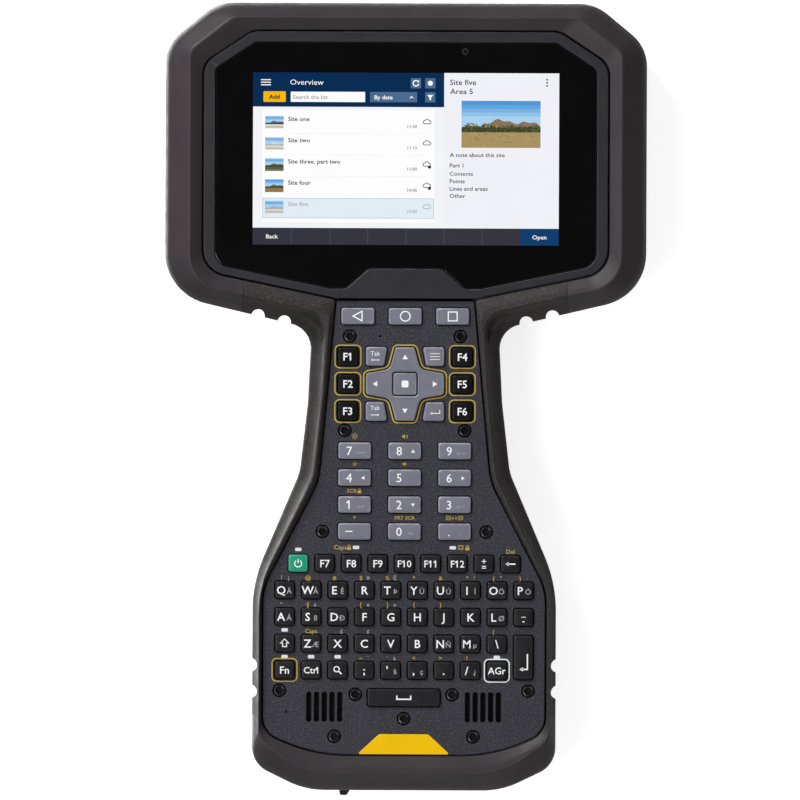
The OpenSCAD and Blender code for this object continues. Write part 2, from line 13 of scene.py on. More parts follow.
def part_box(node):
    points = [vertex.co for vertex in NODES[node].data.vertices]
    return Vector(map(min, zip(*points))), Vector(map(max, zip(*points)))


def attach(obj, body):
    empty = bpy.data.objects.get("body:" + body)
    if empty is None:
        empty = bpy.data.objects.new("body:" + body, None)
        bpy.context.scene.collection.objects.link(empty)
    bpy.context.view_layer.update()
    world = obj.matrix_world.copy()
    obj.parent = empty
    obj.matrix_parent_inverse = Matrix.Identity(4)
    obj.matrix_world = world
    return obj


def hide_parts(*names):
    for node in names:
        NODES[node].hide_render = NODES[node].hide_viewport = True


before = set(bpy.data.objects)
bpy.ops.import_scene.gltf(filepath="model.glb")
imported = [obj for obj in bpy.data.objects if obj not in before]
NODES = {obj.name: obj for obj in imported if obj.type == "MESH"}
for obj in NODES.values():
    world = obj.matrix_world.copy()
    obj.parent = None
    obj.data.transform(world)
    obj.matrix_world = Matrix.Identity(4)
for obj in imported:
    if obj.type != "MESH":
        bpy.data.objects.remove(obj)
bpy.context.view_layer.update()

MM = 0.001
random.seed(7)


# ---- the camera and its view ----

VIEW_SPAN = 289.4          # height of what the camera sees, at VIEW_PLANE
VIEW_PLANE = 34
VIEW_CENTRE = (-1.8, -0.2)
VIEW_ROLL = 0.23           # the object lies a little askew under the camera, in degrees
CAMERA_LENS = 1000         # a long lens, so that the view is almost flat
SENSOR = 36


def in_scene(name, data):
    """A new object in the scene with the given data."""
    thing = bpy.data.objects.new(name, data)
    bpy.context.scene.collection.objects.link(thing)
    return thing


def make_camera():
    data = bpy.data.cameras.new("camera")
    data.lens = CAMERA_LENS
    data.sensor_width = SENSOR
    camera = in_scene("camera", data)
    height = VIEW_SPAN * CAMERA_LENS / SENSOR + VIEW_PLANE
    camera.location = [c * MM for c in (*VIEW_CENTRE, height)]
    camera.rotation_euler = (0, 0, math.radians(VIEW_ROLL))
    bpy.context.scene.camera = camera


make_camera()


# ---- what the frame says ----

def node_box(node):
    """A CAD node's lowest and highest corners, in millimetres."""
    low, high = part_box(node)
    return low / MM, high / MM


def linked_groups(bm):
    """Lists of the vertices that edges join."""
    left, groups = set(bm.verts), []
    while left:
        group = [left.pop()]
        for v in group:
            for edge in v.link_edges:
                w = edge.other_vert(v)
                if w in left:
                    left.remove(w)
                    group.append(w)
        groups.append(group)
    return groups


def solids(node):
    """The box of each separate solid in a CAD node, top row first and from left to right."""
    bm = bmesh.new()
    bm.from_mesh(NODES[node].data)
    bmesh.ops.remove_doubles(bm, verts=bm.verts, dist=1e-6)
    boxes = []
    for group in linked_groups(bm):
        points = [v.co / MM for v in group]
        boxes.append((Vector(map(min, zip(*points))), Vector(map(max, zip(*points)))))
    bm.free()
    return sorted(boxes, key=lambda b: (-round(b[0].y + b[1].y), b[0].x))


def middle(box):
    return (box[0] + box[1]) / 2


HEAD_HALF, HEAD_TOP, HEAD_CREST = node_box("head_bumper")[1]
FOOT_LOW, FOOT_HIGH = node_box("bottom_bumper")
BODY_HALF, _, BODY_CREST = FOOT_HIGH
BODY_FOOT = FOOT_LOW.y
DECK, FASCIA_TOP = (corner.z for corner in node_box("keypad_fascia"))
BEZEL_TOP = node_box("display_bezel")[1].z
KEY_TOP = node_box("q_row")[1].z
SEAM_X = 58.6              # where the grip frames end at the head's lower edge
SEAM_Y = FOOT_HIGH.y + 0.15
SEAM_GAP = 0.05            # half the fine joint between two parts of the wrap
SEAM_TILT = 0.04           # the joints lean this much, so that nothing shows through them
FLANGE = 0.6               # how far a key's flange stands out round its cap, under the fascia
HOLE_GAP = 0.3             # gap between a key and its hole

# Half outlines, from the top down the right side: (x, y, corner radius).
SILHOUETTE = [
    (68.3, HEAD_TOP, 16), (HEAD_HALF, HEAD_TOP - 15.6, 15), (HEAD_HALF, 38, 19), (33.9, 25.5, 9),
    (35.2, -1, 60), (38.1, -26.5, 20), (BODY_HALF, -66.4, 50), (BODY_HALF, BODY_FOOT + 9.4, 10),
    (35.5, BODY_FOOT, 30)]
CREST = [
    (62.5, HEAD_TOP - 5.4, 5), (HEAD_HALF - 9, HEAD_TOP - 17.6, 5), (HEAD_HALF - 9, 41.4, 13),
    (28.3, 30.9, 8.5), (30.2, 0, 60), (33.2, -28, 22), (BODY_HALF - 2.4, -67.6, 40),
    (BODY_HALF - 2.4, -124, 8), (34.5, -136, 30)]
OPENING_HEAD = [(55.5, 133.5, 8), (73.6, 121.5, 8), (73.6, 46.1, 10)]
OPENING_BODY = [
    (25.2, 36.1, 1), (28, 5, 80), (31.2, -29.5, 25), (51.4, -68.7, 22), (51.4, -120.4, 9),
    (33.5, -128.9, 60)]
GLASS = [
    (54.5, 129.2, 3), (69.1, 119.5, 3), (69.1, 48.6, 6), (27, 40, 3), (21.5, 40, 4),
    (13.2, 47.3, 3)]
NAME_PLATE = [(8.9, -121.1, 1.5), (16.8, -128.4, 0.4)]
PAD_CENTRE = Vector((0, 5.6))
PAD = [
    (4, 14.05, 1.6), (6.15, 6, 2.5), (14.95, 4.5, 2), (14.95, -4.5, 2), (6.15, -6, 2.5),
    (4, -14.05, 1.6)]
CORNER_KEY = [(14.2, 19, 1), (14.2, 12.1, 1), (7.6, 12.1, 1), (6.3, 19, 1)]


# ---- outlines ----

def mirrored(side):
    return side + [(-x, y, r) for x, y, r in reversed(side)]


def inward(a, b):
    u = (b - a).normalized()
    return Vector((u.y, -u.x))


def neighbours(points, i):
    return [Vector(points[k % len(points)][:2]) for k in (i - 1, i, i + 1)]


def inset(points, d):
    """A clockwise outline moved in by d."""
    out = []
    for i, (x, y, r) in enumerate(points):
        p, q, s = neighbours(points, i)
        m, n = inward(p, q), inward(q, s)
        shift = (m + n) * d / (1 + m.dot(n))
        hollow = (q - p).cross(s - q) > 0
        out.append((x + shift.x, y + shift.y, max(0.15, r + (d if hollow else -d))))
    return out


def rounded(points, steps):
    """The outline as a ring of points, each corner an arc."""
    ring = []
    for i, (_, _, r) in enumerate(points):
        p, q, s = neighbours(points, i)
        u, v = (p - q).normalized(), (s - q).normalized()
        half = math.acos(max(-1, min(1, u.dot(v)))) / 2
        centre = q + (u + v).normalized() * r / math.sin(half)
        start, end = q + u * r / math.tan(half) - centre, q + v * r / math.tan(half) - centre
        turn = math.pi - 2 * half
        for k in range(steps + 1):
            t = k / steps * turn
            ring.append(centre + (start * math.sin(turn - t) + end * math.sin(t)) / math.sin(turn))
    return ring


def box_outline(w, h, r, at=(0, 0)):
    x, y, w, h = at[0], at[1], w / 2, h / 2
    return [(x + w, y + h, r), (x + w, y - h, r), (x - w, y - h, r), (x - w, y + h, r)]


def moved(points, at):
    return [(x + at[0], y + at[1], r) for x, y, r in points]


def circle(r, at=(0, 0), count=32):
    return [Vector((at[0] + r * math.sin(a), at[1] + r * math.cos(a)))
            for a in (2 * math.pi * k / count for k in range(count))]


def flipped(points, x=False, y=False, about=(0, 0)):
    """An outline mirrored about a point, and kept clockwise."""
    out = [((2 * about[0] - px) if x else px, (2 * about[1] - py) if y else py, r)
           for px, py, r in points]
    return out if x == y else out[::-1]


# ---- materials ----

def rgb(code):
    """A colour like #4a4446 as the shader's linear colour."""
    parts = [int(code[i:i + 2], 16) / 255 for i in (1, 3, 5)]
    return tuple(c / 12.92 if c < 0.04045 else ((c + 0.055) / 1.055) ** 2.4 for c in parts) + (1,)


def set_inputs(tree, node, inputs):
    """Sets each input of a shader node, or links an output to it."""
    for name, value in inputs.items():
        if isinstance(value, bpy.types.NodeSocket):
            tree.links.new(value, node.inputs[name])
        else:
            node.inputs[name].default_value = value


def shader_node(tree, kind, output, inputs=None, **settings):
    """Adds a shader node and returns one of its outputs."""
    node = tree.nodes.new("ShaderNode" + kind)
    for name, value in settings.items():
        setattr(node, name, value)
    set_inputs(tree, node, inputs or {})
    return node.outputs[output]


def material(name, colour, rough, dapple=0.18, dapple_size=14, grain=0.35, relief=0.02,
             specks=None, speck_size=0.5, speck_share=0.4, edge_wear_and_highlight=None, rough_spread=0.08,
             metal=0.0, coat=0.0, coat_rough=0.2, glow=0.0, spec=0.5, weave=None, lines=None):
    """A moulded or printed surface. Sizes are in millimetres, and relief is the depth of its grain."""
    m = bpy.data.materials.new(name)
    m.use_nodes = True
    tree = m.node_tree
    where = shader_node(tree, "TexCoord", "Object")

    def noise(size, detail=2.0):
        return shader_node(tree, "TexNoise", "Fac", {
            "Scale": 1 / (size * MM), "Detail": detail, "Roughness": 0.55, "Vector": where})

    def spread(value, low, high, to_low, to_high):
        return shader_node(tree, "MapRange", "Result", {
            "Value": value, "From Min": low, "From Max": high, "To Min": to_low, "To Max": to_high})

    def mix(share, a, b):
        return shader_node(tree, "Mix", "Result", {"Factor": share, "A": a, "B": b}, data_type="RGBA")

    def shade(scale):
        return tuple(min(1, c * scale) for c in rgb(colour)[:3]) + (1,)

    tone = mix(spread(noise(dapple_size, 4), 0.3, 0.7, 0, 1), shade(1 - dapple), shade(1 + dapple))
    if specks:
        share = spread(noise(speck_size, 1), 1 - speck_share, 1.04 - speck_share, 0, 1)
        tone = mix(share, tone, rgb(specks))
    height = noise(grain)
    if weave:
        bands = [shader_node(tree, "TexWave", "Fac", {"Scale": 1 / (weave * MM), "Vector": where},
                             bands_direction=axis) for axis in "XY"]
        height = shader_node(tree, "Math", "Value", dict(enumerate(bands)), operation="MAXIMUM")
        tone = mix(height, (0, 0, 0, 1), tone)
    if lines:
        along = shader_node(tree, "Mapping", "Vector", {"Scale": (1, 1 / lines, 1), "Vector": where})
        height = shader_node(tree, "TexNoise", "Fac", {"Scale": 1 / (grain * MM), "Vector": along})
    # Convex edges, in random patches, take a lighter colour: real edge wear, and on the keys also a painted
    # highlight along their rounded edges.
    if edge_wear_and_highlight:
        edge = shader_node(tree, "NewGeometry", "Pointiness")
        patches = spread(noise(3, 3), 0.35, 0.65, 0.1, 1)
        rubbed_and_lit_edges = shader_node(tree, "Math", "Value", {0: spread(edge, 0.52, 0.6, 0, 0.8), 1: patches},
                             operation="MULTIPLY")
        tone = mix(rubbed_and_lit_edges, tone, rgb(edge_wear_and_highlight))
    surface = {
        "Base Color": tone, "Metallic": metal, "Specular IOR Level": spec, "Coat Weight": coat,
        "Coat Roughness": coat_rough,
        "Roughness": spread(noise(dapple_size / 3, 3), 0.25, 0.75, rough - rough_spread,
                            rough + rough_spread),
        "Normal": shader_node(tree, "Bump", "Normal", {
            "Strength": 1, "Distance": relief * MM, "Height": height}),
    }
    if glow:
        surface.update({
            "Emission Color": tone, "Emission Strength": glow,
            "Base Color": mix(noise(dapple_size), (0.001, 0.001, 0.001, 1), (0.002, 0.002, 0.002, 1))})
    set_inputs(tree, tree.nodes["Principled BSDF"], surface)
    return m


BUMPER = material("bumper_rubber", "#352f32", 0.5, dapple=0.12, grain=0.5, relief=0.05, spec=0.3)
GRIP = material("grip_rubber", "#2c2728", 0.6, dapple=0.15, grain=0.6, relief=0.14, spec=0.3,
                specks="#433c3c", speck_size=0.6, speck_share=0.42)
HOUSING = material("housing_plastic", "#2c2c31", 0.55, grain=0.4, relief=0.05, edge_wear_and_highlight="#4c4c52")
BEZEL = material("bezel_plastic", "#252429", 0.5, dapple=0.08, grain=0.3, relief=0.02, spec=0.35,
                 edge_wear_and_highlight="#45444b")
FASCIA = material("fascia_plastic", "#292830", 0.6, dapple=0.1, grain=0.7, relief=0.1, spec=0.4,
                  specks="#43424e", speck_size=0.6, speck_share=0.42)
GLASS_BLACK = material("cover_glass", "#060607", 0.09, dapple=0.3, grain=40, relief=0.0005,
                       rough_spread=0.03, coat=0.6, coat_rough=0.03)
# The keys' lighter edge colour is partly a painted highlight along their rounded edges, partly wear.
KEY_GREY = material("key_grey", "#747581", 0.42, dapple=0.07, dapple_size=9, grain=0.45,
                    relief=0.014, coat=0.25, edge_wear_and_highlight="#a3a4ae")
KEY_BLACK = material("key_black", "#0e0d11", 0.45, dapple=0.15, dapple_size=9, grain=0.45,
                     relief=0.014, spec=0.4, edge_wear_and_highlight="#1f1e22")
KEY_DARK = material("key_dark", "#080709", 0.4, dapple=0.15, dapple_size=9, grain=0.45,
                    relief=0.014, spec=0.25, edge_wear_and_highlight="#161518")
KEY_GREEN = material("key_green", "#17936f", 0.38, dapple=0.08, grain=0.45, relief=0.014, coat=0.25,
                     edge_wear_and_highlight="#55c4a2")
INK_WHITE = material("ink_white", "#f2f2f4", 0.5, dapple=0.03, grain=0.3, relief=0.004)
INK_GREY = material("ink_grey", "#a5a6ad", 0.5, dapple=0.05, grain=0.3, relief=0.004)
INK_GOLD = material("ink_gold", "#b9a040", 0.5, dapple=0.08, grain=0.3, relief=0.004)
# Painted shade: a black band round some keys that stands in for the shadow in the hollow round them.
PAINTED_SHADE_INK = material("painted_shade_band", "#121115", 0.45, dapple=0.1, grain=0.3, relief=0.004)
YELLOW = material("yellow_plate", "#f0bf00", 0.45, dapple=0.03, grain=0.4, relief=0.006, spec=0.15)
STEEL_BLACK = material("black_steel", "#232326", 0.34, metal=0.7, grain=0.2, relief=0.01,
                       edge_wear_and_highlight="#77777d")
STEEL = material("plated_steel", "#b9babd", 0.28, metal=1.0, grain=0.15, relief=0.004, lines=12)
BRASS = material("insert_brass", "#b8954a", 0.34, metal=1.0, grain=0.2, relief=0.01, edge_wear_and_highlight="#e0c98a")
FOAM = material("foam_black", "#0c0c0d", 0.9, grain=0.25, relief=0.08)
SEAL = material("seal_silicone", "#b5622f", 0.5, grain=0.6, relief=0.01)
SHEET = material("keypad_silicone", "#3a3b40", 0.55, grain=0.5, relief=0.02)
BOARD = material("circuit_board", "#1f5138", 0.35, dapple=0.1, grain=0.8, relief=0.02,
                 specks="#c9b25c", speck_size=1.6, speck_share=0.3)
WRAP = material("battery_wrap", "#22252b", 0.3, dapple=0.1, grain=6, relief=0.05, coat=0.4)
SPEAKER = material("speaker_case", "#131315", 0.4, grain=0.3, relief=0.02)
CLOTH = material("mesh_cloth", "#242426", 0.8, relief=0.05, weave=0.35)
WINDOW = material("camera_window", "#08080b", 0.06, rough_spread=0.02, grain=30, relief=0.0005,
                  coat=1.0, coat_rough=0.02)
# The lenses' glow is painted light that makes their white brighter; it is not a lit indicator.
LENS = material("lens_white", "#f2f4f8", 0.25, dapple=0.04, grain=0.4, relief=0.004, glow=0.8)
CERAMIC = material("antenna_ceramic", "#b3a385", 0.6, grain=0.3, relief=0.02)
LATCH = material("latch_red", "#b8321d", 0.45, dapple=0.08, grain=0.4, relief=0.02, edge_wear_and_highlight="#d8705c")
STYLUS = material("stylus_plastic", "#161618", 0.42, grain=0.4, relief=0.02, edge_wear_and_highlight="#3a3a3e")


# ---- meshes ----

WELD = 0.0005 * MM         # points nearer than this become one
SHARP = math.radians(38)   # an edge that turns more than this stays sharp


def hand_over(piece, body, nodes):
    """Shades a piece smoothly between its sharp edges and gives it to the frame."""
    mesh = piece.data
    mesh.polygons.foreach_set("use_smooth", [True] * len(mesh.polygons))
    mesh.set_sharp_from_angle(angle=SHARP)
    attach(piece, body)
    if nodes:
        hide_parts(*nodes)


class Piece:
    """A mesh in the making, in millimetres, with the materials that its faces use."""

    def __init__(self, name, *materials):
        self.name = name
        self.materials = materials
        self.verts, self.faces, self.slots = [], [], []

    def add(self, verts, faces, slot=0):
        base = len(self.verts)
        self.verts += [tuple(v) for v in verts]
        self.faces += [tuple(base + i for i in f) for f in faces]
        self.slots += [slot] * len(faces)

    def tube(self, rings, slot=0):
        """Adds the skin over rings of points, one after the other, with flat ends."""
        count = len(rings[0])
        last = (len(rings) - 1) * count
        faces = bridge(count, len(rings)) + [tuple(range(count)), tuple(range(last, last + count))]
        self.add([p for ring in rings for p in ring], faces, slot)

    def done(self, body, slot, *nodes):
        mesh = bpy.data.meshes.new(self.name)
        mesh.from_pydata([[c * MM for c in v] for v in self.verts], [], self.faces)
        for m in self.materials:
            mesh.materials.append(m)
        mesh.polygons.foreach_set("material_index", self.slots)
        bm = bmesh.new()
        bm.from_mesh(mesh)
        bmesh.ops.remove_doubles(bm, verts=bm.verts, dist=WELD)
        bmesh.ops.dissolve_degenerate(bm, edges=bm.edges, dist=WELD)
        bmesh.ops.recalc_face_normals(bm, faces=bm.faces)
        bm.to_mesh(mesh)
        bm.free()
        hand_over(in_scene(self.name, mesh), body, nodes)


def bridge(count, rings, closed=False):
    """Faces between rings of the same count of points, one after the other."""
    faces = []
    for j in range(rings if closed else rings - 1):
        a, b = j * count, (j + 1) % rings * count
        faces += [(a + i, a + (i + 1) % count, b + (i + 1) % count, b + i) for i in range(count)]
    return faces


def inside(point, ring):
    """True if a point lies in a ring."""
    x, y, hit = point[0], point[1], False
    for i, b in enumerate(ring):
        a = ring[i - 1]
        if (a[1] > y) != (b[1] > y) and x < (b[0] - a[0]) * (y - a[1]) / (b[1] - a[1]) + a[0]:
            hit = not hit
    return hit


def filled(loops, spare=()):
    """Triangles over the first loop less the others: (points, triangles). spare are extra points."""
    points, edges = [], []
    for loop in loops:
        base = len(points)
        points += [Vector(p[:2]) for p in loop]
        edges += [(base + i, base + (i + 1) % len(loop)) for i in range(len(loop))]
    points += [Vector(p) for p in spare]
    out, _, tris, _, _, _ = delaunay_2d_cdt(points, edges, [], 1, 1e-6)
    spans = [(min(p[0] for p in h), max(p[0] for p in h), min(p[1] for p in h), max(p[1] for p in h), h)
             for h in loops[1:]]
    kept = []
    for t in tris:
        c = sum((out[i] for i in t), Vector((0, 0))) / 3
        if inside(c, loops[0]) and not any(
                x0 < c.x < x1 and y0 < c.y < y1 and inside(c, h) for x0, x1, y0, y1, h in spans):
            kept.append(tuple(t))
    return out, kept


EDGE_STEPS = 3             # steps round a plate's top edge
RIM = 0.04                 # a narrow flat ring that keeps the edge's rounding off the top's shading
DOME_RINGS = (0.8, 0.55, 0.28)


def edge_rings(outline, z0, z1, edge, steps, hole=False):
    """Rings up a plate's wall, over its rounded top edge and just onto its top."""
    sign = -1 if hole else 1
    stations = [(0, z0)]
    for k in range(EDGE_STEPS + 1):
        a = k / EDGE_STEPS * math.pi / 2
        stations.append((edge * (1 - math.cos(a)), z1 - edge * (1 - math.sin(a))))
    stations.append((edge + RIM, z1))
    if isinstance(outline[0], Vector):
        centre = sum(outline, Vector((0, 0))) / len(outline)
        return [[Vector((*(p + (centre - p).normalized() * sign * d), z)) for p in outline]
                for d, z in stations]
    return [[Vector((*p, z)) for p in rounded(inset(outline, sign * d), steps)] for d, z in stations]


def plate(piece, outline, z0, z1, holes=(), edge=0.2, steps=6, hole_steps=4, crown=None, grid=0):
    """A flat plate with rounded top edges and holes.

    crown(x, y) raises its top, and grid is the distance between extra points there."""
    walls = [edge_rings(outline, z0, z1, edge, steps)]
    walls += [edge_rings(h, z0, z1, edge, hole_steps, hole=True) for h in holes]
    for rings in walls:
        piece.add([p for ring in rings for p in ring], bridge(len(rings[0]), len(rings)))
    tops = [w[-1] for w in walls]
    spare = []
    if grid:
        xs, ys = [p.x for p in tops[0]], [p.y for p in tops[0]]
        for i in range(int((max(xs) - min(xs)) / grid)):
            for j in range(int((max(ys) - min(ys)) / grid)):
                p = Vector((min(xs) + (i + 0.5) * grid, min(ys) + (j + 0.5) * grid))
                clear = all((p - q.to_2d()).length > grid * 0.4 for ring in tops for q in ring)
                if clear and inside(p, tops[0]) and not any(inside(p, t) for t in tops[1:]):
                    spare.append(p)
    points, tris = filled(tops, spare)
    lift = crown or (lambda x, y: 0)
    piece.add([(p.x, p.y, z1 + lift(p.x, p.y)) for p in points], tris)
    points, tris = filled([w[0] for w in walls])
    piece.add([(p.x, p.y, z0) for p in points], tris)


def cap(piece, outline, z0, z1, edge=0.6, rise=0.12, steps=4):
    """A key's cap: rounded edges and a slightly domed top."""
    rings = edge_rings(outline, z0, z1 - rise, edge, steps)
    top = rings[-1]
    centre = sum(top, Vector((0, 0, 0))) / len(top)
    for s in DOME_RINGS:
        z = z1 - rise + rise * (1 - s * s)
        rings.append([Vector((*(centre + (p - centre) * s).to_2d(), z)) for p in top])
    count = len(top)
    last, peak = (len(rings) - 1) * count, len(rings) * count
    faces = bridge(count, len(rings)) + [tuple(range(count))]
    faces += [(last + i, last + (i + 1) % count, peak) for i in range(count)]
    piece.add([p for ring in rings for p in ring] + [(centre.x, centre.y, z1)], faces)


def turned(piece, profile, at=(0, 0, 0), axis="z", count=32, slot=0):
    """A solid of revolution. profile is (radius, height) pairs; the ends lie on the axis."""
    rings = []
    for r, h in profile:
        ring = []
        for k in range(count):
            a = 2 * math.pi * k / count
            x, y = r * math.cos(a), r * math.sin(a)
            local = {"z": (x, y, h), "y": (x, h, y), "x": (h, x, y)}[axis]
            ring.append([local[i] + at[i] for i in range(3)])
        rings.append(ring)
    piece.tube(rings, slot)


# ---- flat marks: text, strokes and icons, printed on a surface ----

CAPITAL = 0.72             # height of a capital letter in text of size 1
_glyphs = {}


def drawn_text(words, weight):
    """Text of size 1 as flat points and triangles."""
    curve = bpy.data.curves.new("words", "FONT")
    curve.body = words
    curve.size = 1
    curve.align_x = "CENTER"
    curve.resolution_u = 2
    curve.offset = weight
    curve.fill_mode = "BOTH"
    maker = in_scene("words", curve)
    graph = bpy.context.evaluated_depsgraph_get()
    shape = bpy.data.meshes.new_from_object(maker.evaluated_get(graph))
    bm = bmesh.new()
    bm.from_mesh(shape)
    bmesh.ops.triangulate(bm, faces=bm.faces)
    bmesh.ops.remove_doubles(bm, verts=bm.verts, dist=1e-5)
    bm.verts.index_update()
    seen, tris = set(), []
    for f in bm.faces:
        corners = tuple(v.index for v in f.verts)
        if len(set(corners)) == 3 and frozenset(corners) not in seen:
            seen.add(frozenset(corners))
            tris.append(corners)
    points = [v.co.to_2d() for v in bm.verts]
    bm.free()
    bpy.data.objects.remove(maker)
    bpy.data.curves.remove(curve)
    bpy.data.meshes.remove(shape)
    return points, tris


def words(text, height, weight=0.012):
    """Text with capitals of the given height, centred on its width and on the capitals' middle."""
    key = (text, weight)
    if key not in _glyphs:
        _glyphs[key] = drawn_text(*key)
    points, tris = _glyphs[key]
    return [(p - Vector((0, CAPITAL / 2))) * (height / CAPITAL) for p in points], tris


def stroke(path, width, closed=False):
    """A line of even width along a path."""
    count = len(path)
    left, right = [], []
    for i, p in enumerate(path):
        p = Vector(p)
        before = Vector(path[i - 1]) if closed or i else None
        after = Vector(path[(i + 1) % count]) if closed or i < count - 1 else None
        d0 = (p - before).normalized() if before else (after - p).normalized()
        d1 = (after - p).normalized() if after else d0
        n0, n1 = Vector((-d0.y, d0.x)), Vector((-d1.y, d1.x))
        n = (n0 + n1) / max(0.4, 1 + n0.dot(n1)) * width / 2
        left.append(p + n)
        right.append(p - n)
    points = left + right
    tris = []
    for i in range(count if closed else count - 1):
        j = (i + 1) % count
        tris += [(i, j, count + j), (i, count + j, count + i)]
    return points, tris


def polygon(*points):
    return [Vector(p) for p in points], [tuple(range(len(points)))]


def patch(outline):
    """A flat shape with rounded corners."""
    return polygon(*rounded(outline, 4))


def disc(r, at=(0, 0), count=16):
    return polygon(*circle(r, at, count))


def arc(r, start, end, at=(0, 0), count=16):
    """Points along an arc. Angles are in degrees, from the right and anticlockwise."""
    turns = [math.radians(start + (end - start) * k / count) for k in range(count + 1)]
    return [(at[0] + r * math.cos(a), at[1] + r * math.sin(a)) for a in turns]


PRINT_SINK = 0.02          # how far a printed mark reaches under the face that it is on


def mark(piece, shape, at, z, lift, slot=0, turn=0, sink=PRINT_SINK, scale=1.0):
    """Adds a flat shape to a piece as a thin closed solid, from sink below the height z to lift above."""
    points, faces = shape
    c, s = math.cos(math.radians(turn)) * scale, math.sin(math.radians(turn)) * scale
    placed = [(at[0] + p[0] * c - p[1] * s, at[1] + p[0] * s + p[1] * c) for p in points]
    count = len(placed)
    verts = [(x, y, z + lift) for x, y in placed] + [(x, y, z - sink) for x, y in placed]
    rims = {}
    for f in faces:
        for i, a in enumerate(f):
            b = f[(i + 1) % len(f)]
            if (b, a) in rims:
                del rims[(b, a)]
            else:
                rims[(a, b)] = True
    walls = [(a, b, b + count, a + count) for a, b in rims]
    piece.add(verts, list(faces) + [tuple(i + count for i in f[::-1]) for f in faces] + walls, slot)


def triangle(size):
    """A triangle that points up."""
    return polygon((0, size * 0.55), (size * 0.6, -size * 0.45), (-size * 0.6, -size * 0.45))


# ---- the rubber wrap: four pieces from one sweep round the whole outline ----

CORNER_STEPS = 12
BEND_STEPS = 4             # steps round each of the section's own corners
SHOULDER = (22, 40)        # across these heights the section changes from the body's to the head's
FOOT = (80, 118)           # and across these, further down, to the foot's


def between(outline_a, outline_b, t):
    return [tuple(u + (v - u) * t for u, v in zip(a, b)) for a, b in zip(outline_a, outline_b)]


def wrap_stations():
    """The section's corners, each an outline and a height at the body, foot and head, and its rounding."""
    sil, crest = mirrored(SILHOUETTE), mirrored(CREST)
    head_sil = inset(sil, 1.4)
    opening = mirrored(OPENING_HEAD + OPENING_BODY)
    edge = inset(opening, -0.15)
    hollow, skin = inset(sil, 4), inset(sil, 11.5)

    def alike(outline, z, size):
        return ((outline, z),) * 3 + (size,)

    return [
        alike(inset(sil, 8), 0, 0.6),
        alike(inset(sil, 3.2), 1.6, 2.2),
        alike(sil, 8, 5),
        ((sil, 24.5), (sil, 24.5), (sil, 26), 2.2),
        ((between(sil, crest, 0.42), 27.2), (between(sil, crest, 0.24), 28.6), (head_sil, 31.5), 2.2),
        ((between(sil, crest, 0.8), 31), (between(sil, crest, 0.7), 32.8),
         (between(head_sil, crest, 0.5), 34.9), 2.2),
        ((crest, BODY_CREST - 0.5), (crest, BODY_CREST), (crest, HEAD_CREST), 0.9),
        ((between(opening, crest, 0.62), BODY_CREST - 0.45),
         (between(opening, crest, 0.6), BODY_CREST - 0.4), (between(opening, crest, 0.5), 36.65), 0.8),
        ((edge, FASCIA_TOP + 0.5), (edge, FASCIA_TOP + 0.5), (edge, BEZEL_TOP + 0.4), 0.5),
        alike(edge, DECK, 0.3),
        alike(hollow, DECK - 0.1, 0.3),
        alike(hollow, 3, 0.3),
        alike(skin, 3, 0.8),
        alike(skin, 0, 0.6),
    ]


def ease(value, low, high):
    t = max(0, min(1, (value - low) / (high - low)))
    return t * t * (3 - 2 * t)


def wrap_mesh():
    """The whole wrap as one closed bmesh, in millimetres."""
    stations = wrap_stations()
    guide = rounded(mirrored(SILHOUETTE), CORNER_STEPS)
    shares = [(ease(p.y, *SHOULDER), ease(-p.y, *FOOT)) for p in guide]
    corners = []
    for *places, _ in stations:
        body, foot, head = [[Vector((*p, z)) for p in rounded(line, CORNER_STEPS)] for line, z in places]
        corners.append([body[i].lerp(head[i], up).lerp(foot[i], down)
                        for i, (up, down) in enumerate(shares)])
    rings = []
    count = len(corners)
    for j in range(count):
        size = stations[j][3]
        before, here, after = corners[j - 1], corners[j], corners[(j + 1) % count]
        for k in range(BEND_STEPS + 1):
            t = k / BEND_STEPS
            ring = []
            for p, q, s in zip(before, here, after):
                a = q + (p - q).normalized() * min(size, (p - q).length * 0.45)
                b = q + (s - q).normalized() * min(size, (s - q).length * 0.45)
                ring.append(a * (1 - t) ** 2 + q * 2 * t * (1 - t) + b * t * t)
            rings.append(ring)
    bm = bmesh.new()
    verts = [bm.verts.new(p) for ring in rings for p in ring]
    for f in bridge(len(guide), len(rings), closed=True):
        bm.faces.new([verts[i] for i in f])
    bmesh.ops.recalc_face_normals(bm, faces=bm.faces)
    return bm


def cut(bm, point, normal):
    """Removes what lies ahead of a plane and closes the mesh again."""
    everything = bm.verts[:] + bm.edges[:] + bm.faces[:]
    made = bmesh.ops.bisect_plane(bm, geom=everything, plane_co=point, plane_no=normal, clear_outer=True)
    edges = [e for e in made["geom_cut"] if isinstance(e, bmesh.types.BMEdge)]
    bmesh.ops.holes_fill(bm, edges=edges, sides=0)


def loose(bm, keep):
    """Keeps only the linked parts for which keep(centre) is true."""
    for group in linked_groups(bm):
        if not keep(sum((v.co for v in group), Vector()) / len(group)):
            bmesh.ops.delete(bm, geom=group, context="VERTS")


def mesh_object(name, bm, *materials):
    mesh = bpy.data.meshes.new(name)
    bm.to_mesh(mesh)
    bm.free()
    mesh.transform(((MM, 0, 0, 0), (0, MM, 0, 0), (0, 0, MM, 0), (0, 0, 0, 1)))
    for m in materials:
        mesh.materials.append(m)
    return in_scene(name, mesh)


def carve(piece, cutters):
    """Takes the cutters out of a piece for good."""
    for cutter in cutters:
        modifier = piece.modifiers.new("cut", "BOOLEAN")
        modifier.operation = "DIFFERENCE"
        modifier.solver = "EXACT"
        modifier.object = cutter
    settle(piece)
    for cutter in cutters:
        bpy.data.objects.remove(cutter)


